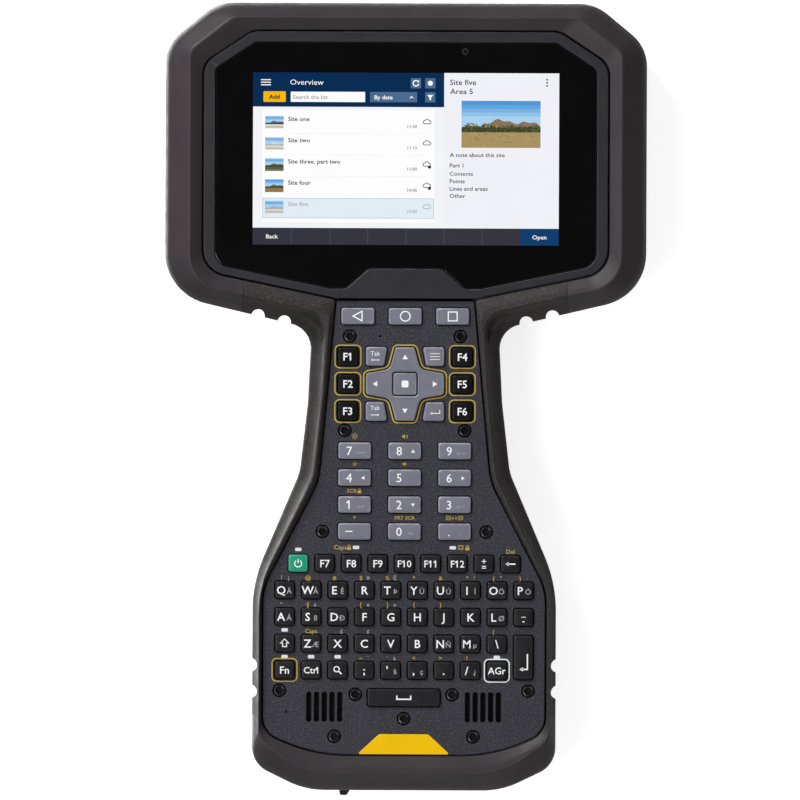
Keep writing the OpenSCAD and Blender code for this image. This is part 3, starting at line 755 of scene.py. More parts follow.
def settle(piece):
    """Makes the modifiers' result the piece's own mesh."""
    graph = bpy.context.evaluated_depsgraph_get()
    mesh = bpy.data.meshes.new_from_object(piece.evaluated_get(graph))
    piece.modifiers.clear()
    piece.data = mesh


def soften(piece, width):
    """Rounds the sharp edges."""
    modifier = piece.modifiers.new("edges", "BEVEL")
    modifier.width = width * MM
    modifier.segments = 3
    modifier.limit_method = "ANGLE"
    modifier.angle_limit = math.radians(50)
    modifier.miter_outer = "MITER_ARC"
    settle(piece)


def finished(piece, body, slot, *nodes):
    """Evens the shading of a carved piece's flat faces and hands it over."""
    piece.modifiers.new("even_shading", "WEIGHTED_NORMAL").keep_sharp = True
    hand_over(piece, body, nodes)


def rod(name, r, start, end):
    """A plain cylinder between two points, as a cutter."""
    bm = bmesh.new()
    a, b = Vector(start), Vector(end)
    bmesh.ops.create_cone(bm, cap_ends=True, segments=24, radius1=r, radius2=r, depth=(b - a).length)
    turn = (b - a).to_track_quat("Z", "Y").to_matrix()
    for v in bm.verts:
        v.co = turn @ v.co + (a + b) / 2
    return mesh_object(name, bm)


def brick(name, low, high):
    """A plain box between two corners, as a cutter."""
    bm = bmesh.new()
    bmesh.ops.create_cube(bm, size=1)
    low, high = Vector(low), Vector(high)
    for v in bm.verts:
        v.co = Vector((v.co[i] * (high[i] - low[i]) + (high[i] + low[i]) / 2 for i in range(3)))
    return mesh_object(name, bm)


STYLUS_LOW, STYLUS_HIGH = node_box("stylus")
STYLUS_X = (STYLUS_LOW.x + STYLUS_HIGH.x) / 2
STYLUS_Z = (STYLUS_LOW.z + STYLUS_HIGH.z) / 2
STYLUS_R = (STYLUS_HIGH.x - STYLUS_LOW.x) / 2
SILO_GAP = 0.4             # round the stylus in its bay
TRUNNION = 1.3             # how far a hinge's pin stands out of each end
PIN_R = 0.7
COVER_LOW, COVER_HIGH = node_box("port_cover")
COVER_HALF = COVER_HIGH.x - TRUNNION
COVER_T = 2.4
COVER_GAP = 0.3            # round the port's cover
COVER_PIN = (COVER_LOW.y + COVER_T / 2, COVER_LOW.z + COVER_T / 2)
NOTCH_R = 2.5
NOTCH_HEAD = (43.9, 53.4)  # notches along the head's lower edge
NOTCH_BODY = (-105.9, -96.3)
HEAD_FOOT = 38             # height of the head's lower corner
SHOULDER_SLOPE = 12.5 / (HEAD_HALF - 33.9)
FAR = 200                  # beyond the object, for cutters


def make_wrap():
    bm = wrap_mesh()
    cut(bm, (0, SEAM_Y - SEAM_GAP, BODY_CREST), (0, 1, SEAM_TILT))
    bottom = mesh_object("bottom_bumper_shell", bm, BUMPER)
    half = COVER_HALF + COVER_GAP
    pin_half = COVER_HIGH.x + 0.2
    carve(bottom, [
        rod("silo", STYLUS_R + SILO_GAP, (STYLUS_X, BODY_FOOT - 9, STYLUS_Z),
            (STYLUS_X, BODY_FOOT + 9, STYLUS_Z)),
        brick("window", (-half, BODY_FOOT - 1, COVER_LOW.z - COVER_GAP),
              (half, BODY_FOOT + 4.95, COVER_HIGH.z + COVER_GAP)),
        rod("pin_bore", PIN_R + 0.2, (-pin_half, *COVER_PIN), (pin_half, *COVER_PIN)),
    ])
    soften(bottom, 0.45)
    finished(bottom, "root", "bumper_rubber", "bottom_bumper")

    bm = wrap_mesh()
    cut(bm, (0, 60, 0), (0, 1, 0))
    cut(bm, (0, SEAM_Y + SEAM_GAP, BODY_CREST), (0, -1, -SEAM_TILT))
    notches = [(x, HEAD_FOOT - (HEAD_HALF - x) * SHOULDER_SLOPE) for x in NOTCH_HEAD]
    notches += [(BODY_HALF + 0.7, y) for y in NOTCH_BODY]
    for side, name in ((1, "right_grip_frame"), (-1, "left_grip_frame")):
        part = bm.copy()
        cut(part, (side * (SEAM_X - SEAM_GAP), 0, HEAD_CREST), (side, 0, SEAM_TILT))
        loose(part, lambda c: 0 < c.x * side < SEAM_X)
        grip = mesh_object(name + "_skin", part, GRIP)
        carve(grip, [rod("notch", NOTCH_R, (side * x, y, -3), (side * x, y, 45)) for x, y in notches])
        soften(grip, 0.55)
        finished(grip, "root", "grip_rubber", name)
    bm.free()

    head = mesh_object("head_bumper_shell", wrap_mesh(), BUMPER)
    under = brick("under", (-SEAM_X - SEAM_GAP, -FAR, -5), (SEAM_X + SEAM_GAP, 100, 60))
    for v in under.data.vertices:
        v.co.x += math.copysign(1, v.co.x) * SEAM_TILT * (HEAD_CREST * MM - v.co.z)
    carve(head, [under])
    soften(head, 0.45)
    finished(head, "root", "bumper_rubber", "head_bumper")


make_wrap()


# ---- bezel, cover glass and screen ----

LCD_LOW, LCD_HIGH = node_box("lcd_module")
LCD_MARGIN = (8, 9)        # how much larger the module is than its lit area
SCREEN_W = LCD_HIGH.x - LCD_LOW.x - LCD_MARGIN[0]
SCREEN_H = LCD_HIGH.y - LCD_LOW.y - LCD_MARGIN[1]
SCREEN_LEFT = -SCREEN_W / 2
SCREEN_TOP = (LCD_HIGH.y + LCD_LOW.y + SCREEN_H) / 2
GLASS_FOOT, GLASS_TOP = (corner.z for corner in node_box("touch_glass"))
BEZEL_GAP = 0.45           # dark line between the wrap and what it frames


def make_head_front():
    opening = mirrored(OPENING_HEAD + OPENING_BODY[:1])
    bezel = Piece("bezel_frame", BEZEL)
    plate(bezel, inset(opening, BEZEL_GAP), DECK, BEZEL_TOP, [mirrored(GLASS)], edge=0.4, steps=12,
          hole_steps=10)
    bezel.done("root", "bezel_plastic", "display_bezel")
    glass = Piece("cover_glass_plate", GLASS_BLACK)
    plate(glass, inset(mirrored(GLASS), 0.16), GLASS_FOOT, GLASS_TOP, edge=0.25, steps=10)
    glass.done("root", "cover_glass", "touch_glass")
    eye = middle(node_box("front_camera"))
    lens = Piece("front_camera_eye", WINDOW, STEEL_BLACK)
    for profile, slot in (([(1.15, -0.1), (1.15, 0.02), (0.9, 0.03)], 1),
                          ([(0.62, -0.1), (0.62, 0.04), (0.4, 0.06)], 0)):
        turned(lens, profile, (eye.x, eye.y, GLASS_TOP), slot=slot)
    lens.done("root", "camera_window")


PAINTS = {
    "white": "#ffffff", "page": "#f4f5f9", "panel": "#f1f2f7", "navy": "#002a52",
    "footer": "#34333e", "rule": "#4a4955", "blue": "#0a3c6c", "amber": "#f8b800",
    "steel": "#4b6a8d", "pale": "#e4edf6", "frame": "#a9bbcd", "ink": "#23252a", "grey": "#868c96",
    "faint": "#a9b3bf", "line": "#e2e5ea", "sky": "#4d98d8", "sky_2": "#62a6de",
    "sky_3": "#79b4e4", "sky_4": "#91c3ea", "haze": "#a9d2f0", "hill": "#8b7259",
    "rock": "#6f5c4a", "tree": "#3a452b", "leaf": "#55603a", "tan": "#a8925f", "straw": "#8d7a4c",
    "sand": "#b7a26f", "road": "#5b6068", "cream": "#d9d9cf",
}
PAINT_NAMES = list(PAINTS)
paints = [material("screen_" + name, colour, 0.12, dapple=0.015, grain=30, relief=0.0005,
                   rough_spread=0.02, coat=0.3, coat_rough=0.03, glow=1.0)
          for name, colour in PAINTS.items()]
RIDGE_STEPS = 60
TEXT_STRETCH = 1.1         # the screen's text is this much wider than its typeface
LAYER = 0.012              # how far each layer of the screen's picture stands above the one below


class Picture(Piece):
    """Flat marks on the screen. Places run from its top left corner, in millimetres, and y runs down."""

    def __init__(self, name):
        super().__init__(name, *paints)

    def shape(self, shape, x, y, paint, layer, turn=0):
        mark(self, shape, (SCREEN_LEFT + x, SCREEN_TOP - y), GLASS_TOP, LAYER * layer,
             PAINT_NAMES.index(paint), turn)

    def box(self, x, y, w, h, paint, layer, r=0):
        outline = box_outline(w, h, r)
        shape = patch(outline) if r else polygon(*[p[:2] for p in outline])
        self.shape(shape, x + w / 2, y + h / 2, paint, layer)

    def words(self, x, y, text, height, paint, layer, weight=0.01, align="left"):
        points, tris = words(text, height, weight)
        edge = {"left": min(p.x for p in points), "right": max(p.x for p in points), "centre": 0}[align]
        stretched = [Vector(((p.x - edge) * TEXT_STRETCH, p.y)) for p in points]
        self.shape((stretched, tris), x, y, paint, layer)


def ridge(w, low, high, waves, bumps=0):
    """A hill's or a tree line's outline over its base line."""
    top = []
    for k in range(RIDGE_STEPS + 1):
        t = k / RIDGE_STEPS
        y = sum(a * math.sin(2 * math.pi * (f * t + p)) for a, f, p in waves)
        y += bumps * (abs(math.sin(math.pi * t * 23)) + 0.6 * abs(math.sin(math.pi * t * 37 + 1)))
        top.append((t * w - w / 2, low + (high - low) * (0.55 + y)))
    return polygon((-w / 2, 0), *top, (w / 2, 0))


def scatter(picture, x, y, w, low, high, count, sizes, paints_used, layer, flat=1.0):
    """Small flecks over a band of a picture. low and high are heights over its foot, y."""
    for _ in range(count):
        r = random.uniform(*sizes)
        fleck = [Vector((p.x, p.y * flat)) for p in circle(r, count=7)], [tuple(range(7))]
        picture.shape(fleck, x + random.uniform(r, w - r), y - random.uniform(low, high),
                      random.choice(paints_used), layer)


def landscape(picture, x, y, w, h, layer, sky="sky", far="hill", near="tree", ground="tan"):
    """A small view: sky, a hill, a line of trees and a field. Wide ones get flecks."""
    foot = y + h
    fine = w > 12

    def flecks(low, high, *more):
        if fine:
            scatter(picture, x, foot, w, h * low, h * high, *more)

    picture.box(x, y, w, h, sky, layer)
    for k, tone in enumerate(["sky_2", "sky_3", "sky_4", "haze"]):
        top = h * (0.09 + 0.08 * k)
        picture.box(x, y + top, w, h * 0.6 - top, tone, layer + 1 + k * 0.25)
    hill = ridge(w, 0.2 * h, 0.68 * h, [(0.22, 0.6, 0.9), (0.08, 2.3, 0.2), (0.04, 6.1, 0.5)])
    picture.shape(hill, x + w / 2, foot, far, layer + 3)
    flecks(0.4, 0.52, 150, (0.12, 0.5), ["rock", "hill", "straw", "tan"], layer + 4, 0.6)
    trees = ridge(w, 0.3 * h, 0.46 * h, [(0.05, 1.3, 0.1)], bumps=0.3)
    picture.shape(trees, x + w / 2, foot, near, layer + 5)
    flecks(0.33, 0.47, 130, (0.2, 0.6), ["leaf", "tree", "tree"], layer + 6)
    picture.box(x, foot - h * 0.33, w, h * 0.33, ground, layer + 7)
    flecks(0.05, 0.3, 130, (0.2, 0.9), ["straw", "tan", "sand"], layer + 8, 0.2)
    if not fine:
        picture.box(x, foot - h * 0.14, w, h * 0.05, "straw", layer + 8)


def cloud(s):
    """The outline of a small cloud of size s."""
    path = arc(0.32 * s, 250, 100, (-0.38 * s, 0), 8) + arc(0.42 * s, 150, 20, (0.02 * s, 0.12 * s), 8)
    path += arc(0.3 * s, 70, -80, (0.45 * s, -0.02 * s), 8)
    return stroke(path, 0.14 * s, closed=True)


LIST_W, BAR_H, FOOT_Y = 69.1, 12.4, SCREEN_H - 6.1
FOOT_H = SCREEN_H - FOOT_Y
ROW_Y, ROW_H = 15.3, 7.68
BUTTON = 3.7               # side of the small square buttons
BOXES = [                  # x, y, w, h, paint, layer and corner radius
    (0, 0, SCREEN_W, SCREEN_H, "page", 1),
    (0, 0, LIST_W, BAR_H, "navy", 2),
    (LIST_W, 0, SCREEN_W - LIST_W, FOOT_Y, "panel", 2),
    (0, FOOT_Y, SCREEN_W, FOOT_H, "footer", 2),
    *[(x, FOOT_Y, 0.25, FOOT_H, "rule", 3) for x in (13.8, 27.9, 41.5, 55.4, 69.1, 82.9)],
    (SCREEN_W - 13.9, FOOT_Y, 13.9, FOOT_H, "blue", 3),
    (3.4, BAR_H + 1.2, 62.2, FOOT_Y - BAR_H - 3.2, "white", 2),
    (3.7, 6.85, 8.1, 3.85, "amber", 3, 0.4),
    (13.6, 6.95, 26.9, BUTTON, "white", 3, 0.15),
    (42.3, 6.95, 17.0, BUTTON, "steel", 3, 0.15),
    (57.0, 1.9, BUTTON, BUTTON, "steel", 3, 0.2),
    (62.2, 1.9, BUTTON, BUTTON, "steel", 3, 0.2),
    (62.2, 6.95, BUTTON, BUTTON, "steel", 3, 0.2),
    *[(2.8, 2.5 + 0.92 * k, 3.6, 0.36, "white", 3) for k in range(3)],
    (3.5, ROW_Y + 4 * ROW_H - 0.6, 62.0, 7.3, "frame", 3),
    (3.68, ROW_Y + 4 * ROW_H - 0.42, 61.64, 6.94, "pale", 4),
]
ROWS = [                   # a name, a time and the colours of its view
    ("Site one", "11:30", ("haze", "road", "tree", "cream")),
    ("Site two", "11:15", ("cream", "cream", "faint", "cream")),
    ("Site three, part two", "11:00", ("haze", "rock", "tree", "leaf")),
    ("Site four", "10:45", ("sky", "rock", "tree", "straw")),
    ("Site five", "10:30", ("haze", "faint", "faint", "cream")),
]
CHOSEN_ROW = 4
BUSY_ROWS = (2, 3)         # these have a dot beside their cloud
# The words on the screen are placeholders.
WORDS = [                  # x, y, text, height, paint, weight and side
    (13.4, 3.45, "Overview", 2.0, "white", 0.0, "left"),
    (7.75, 8.8, "Add", 1.5, "ink", 0.03, "centre"),
    (14.4, 8.85, "Search the list", 1.45, "grey", 0.01, "left"),
    (43.9, 8.85, "By date", 1.45, "white", 0.015, "left"),
    (71.2, 3.3, "Site five", 2.0, "ink", 0.01, "left"),
    (71.2, 6.6, "Area 5", 2.0, "ink", 0.01, "left"),
    (71.2, 29.6, "A note about this site", 1.48, "ink", 0.012, "left"),
    (71.2, 33.4, "Part 1", 1.48, "ink", 0.012, "left"),
    (71.2, 36.4, "Contents", 1.48, "ink", 0.008, "left"),
    (71.2, 39.1, "Points", 1.48, "ink", 0.012, "left"),
    (71.2, 41.8, "Lines and areas", 1.48, "ink", 0.012, "left"),
    (71.2, 44.4, "Other", 1.48, "ink", 0.012, "left"),
    (6.9, FOOT_Y + 3.1, "Back", 1.5, "white", 0.012, "centre"),
    (SCREEN_W - 6.95, FOOT_Y + 3.1, "Open", 1.5, "white", 0.012, "centre"),
]
FUNNEL = polygon((-1.1, 0.9), (1.1, 0.9), (0.3, -0.1), (0.3, -1.1), (-0.3, -0.8), (-0.3, -0.1))
ICONS = [                  # shape, x, y, paint, layer and turn
    (stroke([(-0.6, -0.3), (0, 0.3), (0.6, -0.3)], 0.3), 57.3, 8.85, "white", 6),
    (stroke(arc(1.0, 60, 350), 0.42), 58.85, 3.75, "white", 6),
    (triangle(0.8), 59.75, 3.15, "white", 6, 200),
    (disc(0.9), 64.05, 3.75, "white", 6),
    (FUNNEL, 64.05, 8.85, "white", 6),
    *[(disc(0.33, count=10), 106.3, 2.3 + k * 1.1, "ink", 6) for k in range(3)],
]


def make_screen():
    page, text, views = Picture("screen_page"), Picture("screen_words"), Picture("screen_views")
    for box in BOXES:
        page.box(*box)
    for k, (name, time, look) in enumerate(ROWS):
        y = ROW_Y + k * ROW_H
        shade, time_shade = ("faint", "faint") if k == CHOSEN_ROW else ("ink", "grey")
        landscape(views, 4.4, y + 0.4, 6.7, 4.6, 5, *look)
        text.words(12.7, y + 1.5, name, 1.55, shade, 6, weight=0.016)
        text.words(59.4, y + 4.1, time, 1.15, time_shade, 6, weight=0.02, align="right")
        text.shape(cloud(1.9), 62.9, y + 2.5, shade, 6)
        if k in BUSY_ROWS:
            text.shape(disc(0.6), 63.9, y + 3.4, shade, 7)
        if k < CHOSEN_ROW - 1:
            page.box(12.7, y + ROW_H - 0.9, 50, 0.1, "line", 3)
    for x, y, label, height, paint, weight, side in WORDS:
        text.words(x, y, label, height, paint, 6, weight=weight, align=side)
    for icon in ICONS:
        text.shape(*icon)
    landscape(views, 75.4, 10.0, 28.6, 17.0, 5)
    for part in (page, text, views):
        part.done("root", "display_panel")


make_head_front()
make_screen()


# ---- keys ----

KEY_FOOT = DECK - 0.9
LETTER_R = 0.9
KEY_RISE = 0.14
KEY_EDGE = 0.55


def cap_outline(box, r=LETTER_R):
    """The outline of a key's cap, from the box of its solid, whose flange stands out all round."""
    size = box[1] - box[0]
    return box_outline(size.x - 2 * FLANGE, size.y - 2 * FLANGE, r, middle(box))


def legend(ink, shape, at, slot=0, turn=0, top=KEY_TOP):
    """A legend on a key's domed top."""
    mark(ink, shape, at, top, 0.01, slot, turn, sink=KEY_RISE + 0.08)


CORNERS = {
    "tab_back_key": flipped(CORNER_KEY, x=True),
    "tab_next_key": flipped(CORNER_KEY, x=True, y=True, about=(0, PAD_CENTRE.y)),
    "menu_key": CORNER_KEY,
    "small_enter_key": flipped(CORNER_KEY, y=True, about=(0, PAD_CENTRE.y)),
}
LETTER_ROWS = ["function_row", "q_row", "a_row", "shift_row", "control_row"]
NUMBER_ROWS = ["number_row_7", "number_row_4", "number_row_1", "number_row_0"]
F_KEYS = ["f1_key", "f2_key", "f3_key", "f4_key", "f5_key", "f6_key"]
NAV_KEYS = ["back_key", "home_key", "recent_key"]
OUTLINES = {n: [cap_outline(b) for b in solids(n)] for n in
            LETTER_ROWS + NUMBER_ROWS + NAV_KEYS + ["power_key", "enter_key", "space_key"]}
OUTLINES.update({n: [cap_outline(b, 1.0) for b in solids(n)] for n in F_KEYS})
OUTLINES.update({n: [outline] for n, outline in CORNERS.items()})
PAD_LINE = moved(mirrored(PAD), PAD_CENTRE)
PAD_KEY = inset(PAD_LINE, 0.75)
OK_LOW, OK_HIGH = node_box("ok_key")
OK_LINE = box_outline(OK_HIGH.x - OK_LOW.x, OK_HIGH.y - OK_LOW.y, 0.8, PAD_CENTRE)


def centre_of(outline):
    xs, ys = [p[0] for p in outline], [p[1] for p in outline]
    return (max(xs) + min(xs)) / 2, (max(ys) + min(ys)) / 2


def make_caps(node, paint, slot):
    caps = Piece(node + "_caps", paint)
    for outline in OUTLINES[node]:
        cap(caps, outline, KEY_FOOT, KEY_TOP, KEY_EDGE, KEY_RISE)
    caps.done(node, slot, node)


def make_legend(node, slot, sign, dx=0, dy=0):
    """One white sign on a key's cap."""
    ink = Piece(node + "_legend", INK_WHITE)
    x, y = centre_of(OUTLINES[node][0])
    legend(ink, sign, (x + dx, y + dy))
    ink.done(node, slot)


def pointed(path, width, head):
    """A stroke along a path, with an arrowhead that points left on its end."""
    *start, (x, y) = path
    points, tris = stroke([*start, (x + head * 0.6, y)], width)
    base = len(points)
    points += [Vector((x, y)), Vector((x + head, y + head * 0.62)), Vector((x + head, y - head * 0.62))]
    return points, tris + [(base, base + 1, base + 2)]


def arrow(length, width, head):
    return pointed([(length / 2, 0), (-length / 2, 0)], width, head)


def enter_arrow(w, h, width, head):
    """An arrow that comes down and turns left."""
    return pointed([(w / 2, h / 2), (w / 2, -h / 2), (-w / 2, -h / 2)], width, head)


def shift_mark():
    return stroke([(0, 1.5), (1.5, 0.1), (0.7, 0.1), (0.7, -1.2), (-0.7, -1.2), (-0.7, 0.1), (-1.5, 0.1)],
                  0.36, closed=True)


def join(*shapes):
    points, faces = [], []
    for more, tris in shapes:
        base = len(points)
        points += more
        faces += [tuple(base + i for i in f) for f in tris]
    return points, faces


def shifted(shape, x, y):
    return [p + Vector((x, y)) for p in shape[0]], shape[1]


def magnifier():
    return join(stroke(arc(0.95, 0, 360, (-0.35, 0.35), 18)[:-1], 0.4, closed=True),
                stroke([(0.35, -0.35), (1.45, -1.4)], 0.5))


def power_mark():
    return join(stroke(arc(1.25, 125, 415, (0, -0.1), 20), 0.38), stroke([(0, 1.5), (0, 0.1)], 0.38))


def lock():
    body = polygon((-0.7, 0.1), (0.7, 0.1), (0.7, -1.0), (-0.7, -1.0))
    return join(body, stroke(arc(0.45, 0, 180, (0, 0.3), 8), 0.24))


def loudspeaker(waves):
    parts = [polygon((-0.9, 0.35), (-0.4, 0.35), (0.2, 0.9), (0.2, -0.9), (-0.4, -0.35), (-0.9, -0.35))]
    parts += [stroke(arc(0.55 + 0.45 * k, -45, 45, (0.2, 0), 6), 0.2) for k in range(waves)]
    return join(*parts)


def sun(r):
    rays = [disc(0.16, p, 6) for p in circle(1.0, count=8)]
    return join(stroke(circle(r, count=12), 0.2, closed=True), *rays)


def keyboard_icon():
    frame_line = stroke([(-0.9, 0.8), (0.9, 0.8), (0.9, -0.8), (-0.9, -0.8)], 0.22, closed=True)
    return join(frame_line, *[disc(0.17, (x, y), 6) for x in (-0.42, 0.05, 0.5) for y in (-0.32, 0.32)])


def figures(text, height, weight):
    """Text in which each 1, a plain bar in this typeface, gets its flag."""
    points, tris = words(text, height, weight)
    groups = {}
    for tri in tris:
        home = {v for t in tri for v in groups.get(t, {t})}
        for v in home:
            groups[v] = home
    bars = []
    for group in {id(g): g for g in groups.values()}.values():
        xs, ys = [points[v].x for v in group], [points[v].y for v in group]
        if max(xs) - min(xs) < 0.3 * height and max(ys) - min(ys) > 0.8 * height:
            bars.append((min(xs), max(ys)))
    flags = [polygon((x + 0.02, y), (x + 0.02, y - 0.26 * height), (x - 0.22 * height, y - 0.36 * height),
                     (x - 0.22 * height, y - 0.18 * height)) for x, y in bars]
    return join((points, tris), *flags)


LETTERS = {
    "function_row": [("F7",), ("F8",), ("F9",), ("F10",), ("F11",), ("F12",), ("+=",), ("<-",)],
    "q_row": [("Q", "Ä"), ("W", "Å"), ("E", "É"), ("R",), ("T", "Þ"), ("Y", "Ü"),
              ("U", "Ú"), ("I", "Í"), ("O", "Ö"), ("P", "Ó")],
    "a_row": [("A", "Á"), ("S", "ß"), ("D", "Ð"), ("F",), ("G",), ("H",), ("J",), ("K",),
              ("L", "Ø"), ("_-",)],
    "shift_row": [("shift",), ("Z", "Æ"), ("X",), ("C",), ("V",), ("B",), ("N", "Ñ"),
                  ("M", "µ"), ("\\",)],
    "control_row": [("Fn",), ("Ctrl",), ("find",), (";",), ("'", "â"), (",", "ç"), (".",),
                    ("/", "¿"), ("AGr",)],
}
LETTER_H = 3.0
SMALL_H = 1.95             # of a key's second legend
LONG_H = {2: 2.75, 3: 2.55, 4: 2.4}    # of a legend with this many letters


def key_marks(ink, entry, at):
    """The legend of one letter key: slot 0 is white and slot 1 grey."""
    x, y = at
    main = entry[0]
    if main == "shift":
        legend(ink, shift_mark(), at)
    elif main == "find":
        legend(ink, magnifier(), at)
    elif main == "<-":
        legend(ink, arrow(3.6, 0.5, 1.2), at)
    elif len(main) == 2 and not main.isalnum():
        legend(ink, words(main[0], 2.2), (x, y + (0.95 if main[0] != "_" else 1.5)))
        legend(ink, words(main[1], 2.2), (x, y - 1.15))
    elif len(main) > 1:
        legend(ink, figures(main, LONG_H[len(main)], 0.01), at)
    else:
        aside = -1.3 if len(entry) > 1 else 0
        legend(ink, words(main, LETTER_H), (x + aside, y))
    if len(entry) > 1:
        legend(ink, words(entry[1], SMALL_H, 0.008), (x + 1.6, y - 0.35), slot=1)


NUMBERS = {                # each row's figures and the small signs beside them
    "number_row_7": [("7", "home"), ("8", "up"), ("9", "pg up")],
    "number_row_4": [("4", "left"), ("5", ""), ("6", "right")],
    "number_row_1": [("1", "end"), ("2", "down"), ("3", "pg dn")],
    "number_row_0": [("-", ""), ("0", "ins"), (".", "(")],
}
TURNS = {"up": 0, "left": 90, "right": -90, "down": 180}


def number_marks(ink, figure, aside, at):
    x, y = at
    dash = polygon((-1.3, 0.2), (1.3, 0.2), (1.3, -0.2), (-1.3, -0.2))
    legend(ink, dash if figure == "-" else figures(figure, 3.2, 0.006), (x - 2.0, y))
    if aside in TURNS:
        legend(ink, triangle(1.2), (x + 3.0, y - 0.1), turn=TURNS[aside])
    elif aside:
        legend(ink, words(aside, 1.05, 0.0), (x + 2.3, y - 0.55), slot=1)


def make_keys():
    for nodes, paint, slot in ((LETTER_ROWS + ["enter_key", "space_key"], KEY_BLACK, "key_black"),
                               (F_KEYS, KEY_DARK, "key_black"),
                               (NUMBER_ROWS + NAV_KEYS + list(CORNERS), KEY_GREY, "key_grey"),
                               (["power_key"], KEY_GREEN, "key_green")):
        for node in nodes:
            make_caps(node, paint, slot)

    for node in LETTER_ROWS:
        ink = Piece(node + "_legends", INK_WHITE, INK_GREY)
        for outline, entry in zip(OUTLINES[node], LETTERS[node]):
            key_marks(ink, entry, centre_of(outline))
        ink.done(node, "key_black")
    for node, row in NUMBERS.items():
        ink = Piece(node + "_legends", INK_WHITE, INK_GREY)
        for outline, (figure, aside) in zip(OUTLINES[node], row):
            number_marks(ink, figure, aside, centre_of(outline))
        ink.done(node, "key_grey")

    nav_paths = [[(-1.75, 0), (1.5, 1.75), (1.5, -1.75)], circle(1.75, count=28),
                 [(-1.6, 1.6), (1.6, 1.6), (1.6, -1.6), (-1.6, -1.6)]]
    for node, path in zip(NAV_KEYS, nav_paths):
        make_legend(node, "key_grey", stroke(path, 0.42, closed=True))
    for k, node in enumerate(F_KEYS):
        make_legend(node, "key_black", figures(f"F{k + 1}", 2.8, 0.014))

    tab = words("Tab", 1.6, 0.0)
    left = arrow(3.2, 0.28, 0.8)
    right = [-p for p in left[0]], left[1]
    signs = {
        "tab_back_key": join(shifted(tab, 0, 1.1), shifted(left, 0, -1.3)),
        "tab_next_key": join(shifted(tab, 0, 1.3), shifted(right, 0, -1.3)),
        "menu_key": join(*[stroke([(-1.8, y), (1.8, y)], 0.24) for y in (1.05, 0, -1.05)]),
        "small_enter_key": enter_arrow(3.6, 1.3, 0.3, 0.9),
    }
    for node, sign in signs.items():
        make_legend(node, "key_grey", sign, dx=math.copysign(0.55, centre_of(CORNERS[node])[0]))
    make_legend("power_key", "key_green", power_mark())
    make_legend("enter_key", "key_black", enter_arrow(2.9, 5.6, 0.5, 1.3), dy=-1.5)
    make_legend("space_key", "key_black", stroke([(-2.5, 0.8), (-2.5, -0.55), (2.5, -0.55), (2.5, 0.8)], 0.5))


DISH_REACH = (14.2, 13.3)  # the four-way pad's top is dished out to here
DISH_DEPTH = 0.16
PAD_ARROWS = {0: (0, 9.7), 90: (-10.8, 0), -90: (10.8, 0), 180: (0, -9.7)}


def make_pad():
    top = node_box("dpad")[1].z

    def dish(x, y):
        far_x, far_y = abs(x) / DISH_REACH[0], abs(y - PAD_CENTRE.y) / DISH_REACH[1]
        return -DISH_DEPTH * (1 - min(1, max(far_x, far_y)) ** 2)

    pad = Piece("four_way_pad", KEY_GREY)
    plate(pad, PAD_KEY, KEY_FOOT, top, [inset(OK_LINE, -0.4)], edge=0.55, crown=dish, grid=1.1)
    pad.done("dpad", "key_grey", "dpad")
    ink = Piece("four_way_pad_legends", INK_WHITE)
    for turn, (dx, dy) in PAD_ARROWS.items():
        legend(ink, triangle(1.7), (dx, PAD_CENTRE.y + dy), turn=turn, top=top)
    ink.done("dpad", "key_grey")
    select = Piece("select_key_cap", KEY_GREY)
    cap(select, OK_LINE, KEY_FOOT, KEY_TOP, 0.45, 0.1)
    select.done("ok_key", "key_grey", "ok_key")
    ink = Piece("select_key_legend", INK_WHITE)
    legend(ink, patch(box_outline(2.5, 2.5, 0.6)), PAD_CENTRE)
    ink.done("ok_key", "key_grey")


# ---- the keypad's fascia and what is printed on it ----

SCREW_BOXES = solids("fascia_screws")
SCREWS = [middle(b) for b in SCREW_BOXES]
SCREW_R = (SCREW_BOXES[0][1].x - SCREW_BOXES[0][0].x) / 2
LENSES = [middle(b) for b in solids("indicator_lenses")]
MICROPHONES = [middle(b) for b in solids("microphones")]
SPEAKERS = [middle(b) for b in solids("speakers")]
SLOT_SHIFTS = [2.8 * k for k in (-2, -1, 0, 1, 2)]    # of a speaker's slots from its middle
SLOT_W, SLOT_LEN = 1.9, 10.9


def fascia_holes():
    holes = [inset(o, -HOLE_GAP) for outlines in OUTLINES.values() for o in outlines]
    holes.append(inset(PAD_KEY, -0.35))
    holes += [circle(SCREW_R + 0.4, p, 28) for p in SCREWS]
    holes += [box_outline(2.5, 1.35, 0.5, p) for p in LENSES]
    holes += [circle(0.4, p, 12) for p in MICROPHONES]
    holes += [box_outline(SLOT_W, SLOT_LEN, SLOT_W / 2 - 0.05, (p.x + dx, p.y))
              for p in SPEAKERS for dx in SLOT_SHIFTS]
    return holes


def make_fascia():
    face = Piece("keypad_face", FASCIA)
    plate(face, inset(mirrored(OPENING_BODY), BEZEL_GAP), DECK, FASCIA_TOP, fascia_holes(), edge=0.18,
          steps=10)
    face.done("root", "fascia_plastic", "keypad_fascia")

    badge = Piece("badge_plate", YELLOW)
    plate(badge, mirrored(NAME_PLATE), FASCIA_TOP - 0.2, node_box("name_plate")[1].z, edge=0.1)
    badge.done("root", "yellow_plate", "name_plate")

    heads = Piece("keypad_screw_heads", STEEL_BLACK)
    for p in SCREWS:
        socket_screw(heads, (p.x, p.y, FASCIA_TOP - 0.35), SCREW_R, 1.35)
    heads.done("root", "black_steel", "fascia_screws")

    pipes = Piece("indicator_light_pipes", LENS)
    for p in LENSES:
        cap(pipes, box_outline(2.35, 1.2, 0.45, p), DECK - 1, FASCIA_TOP + 0.02, 0.15, 0.05, 3)
    pipes.done("root", "lens_white", "indicator_lenses")


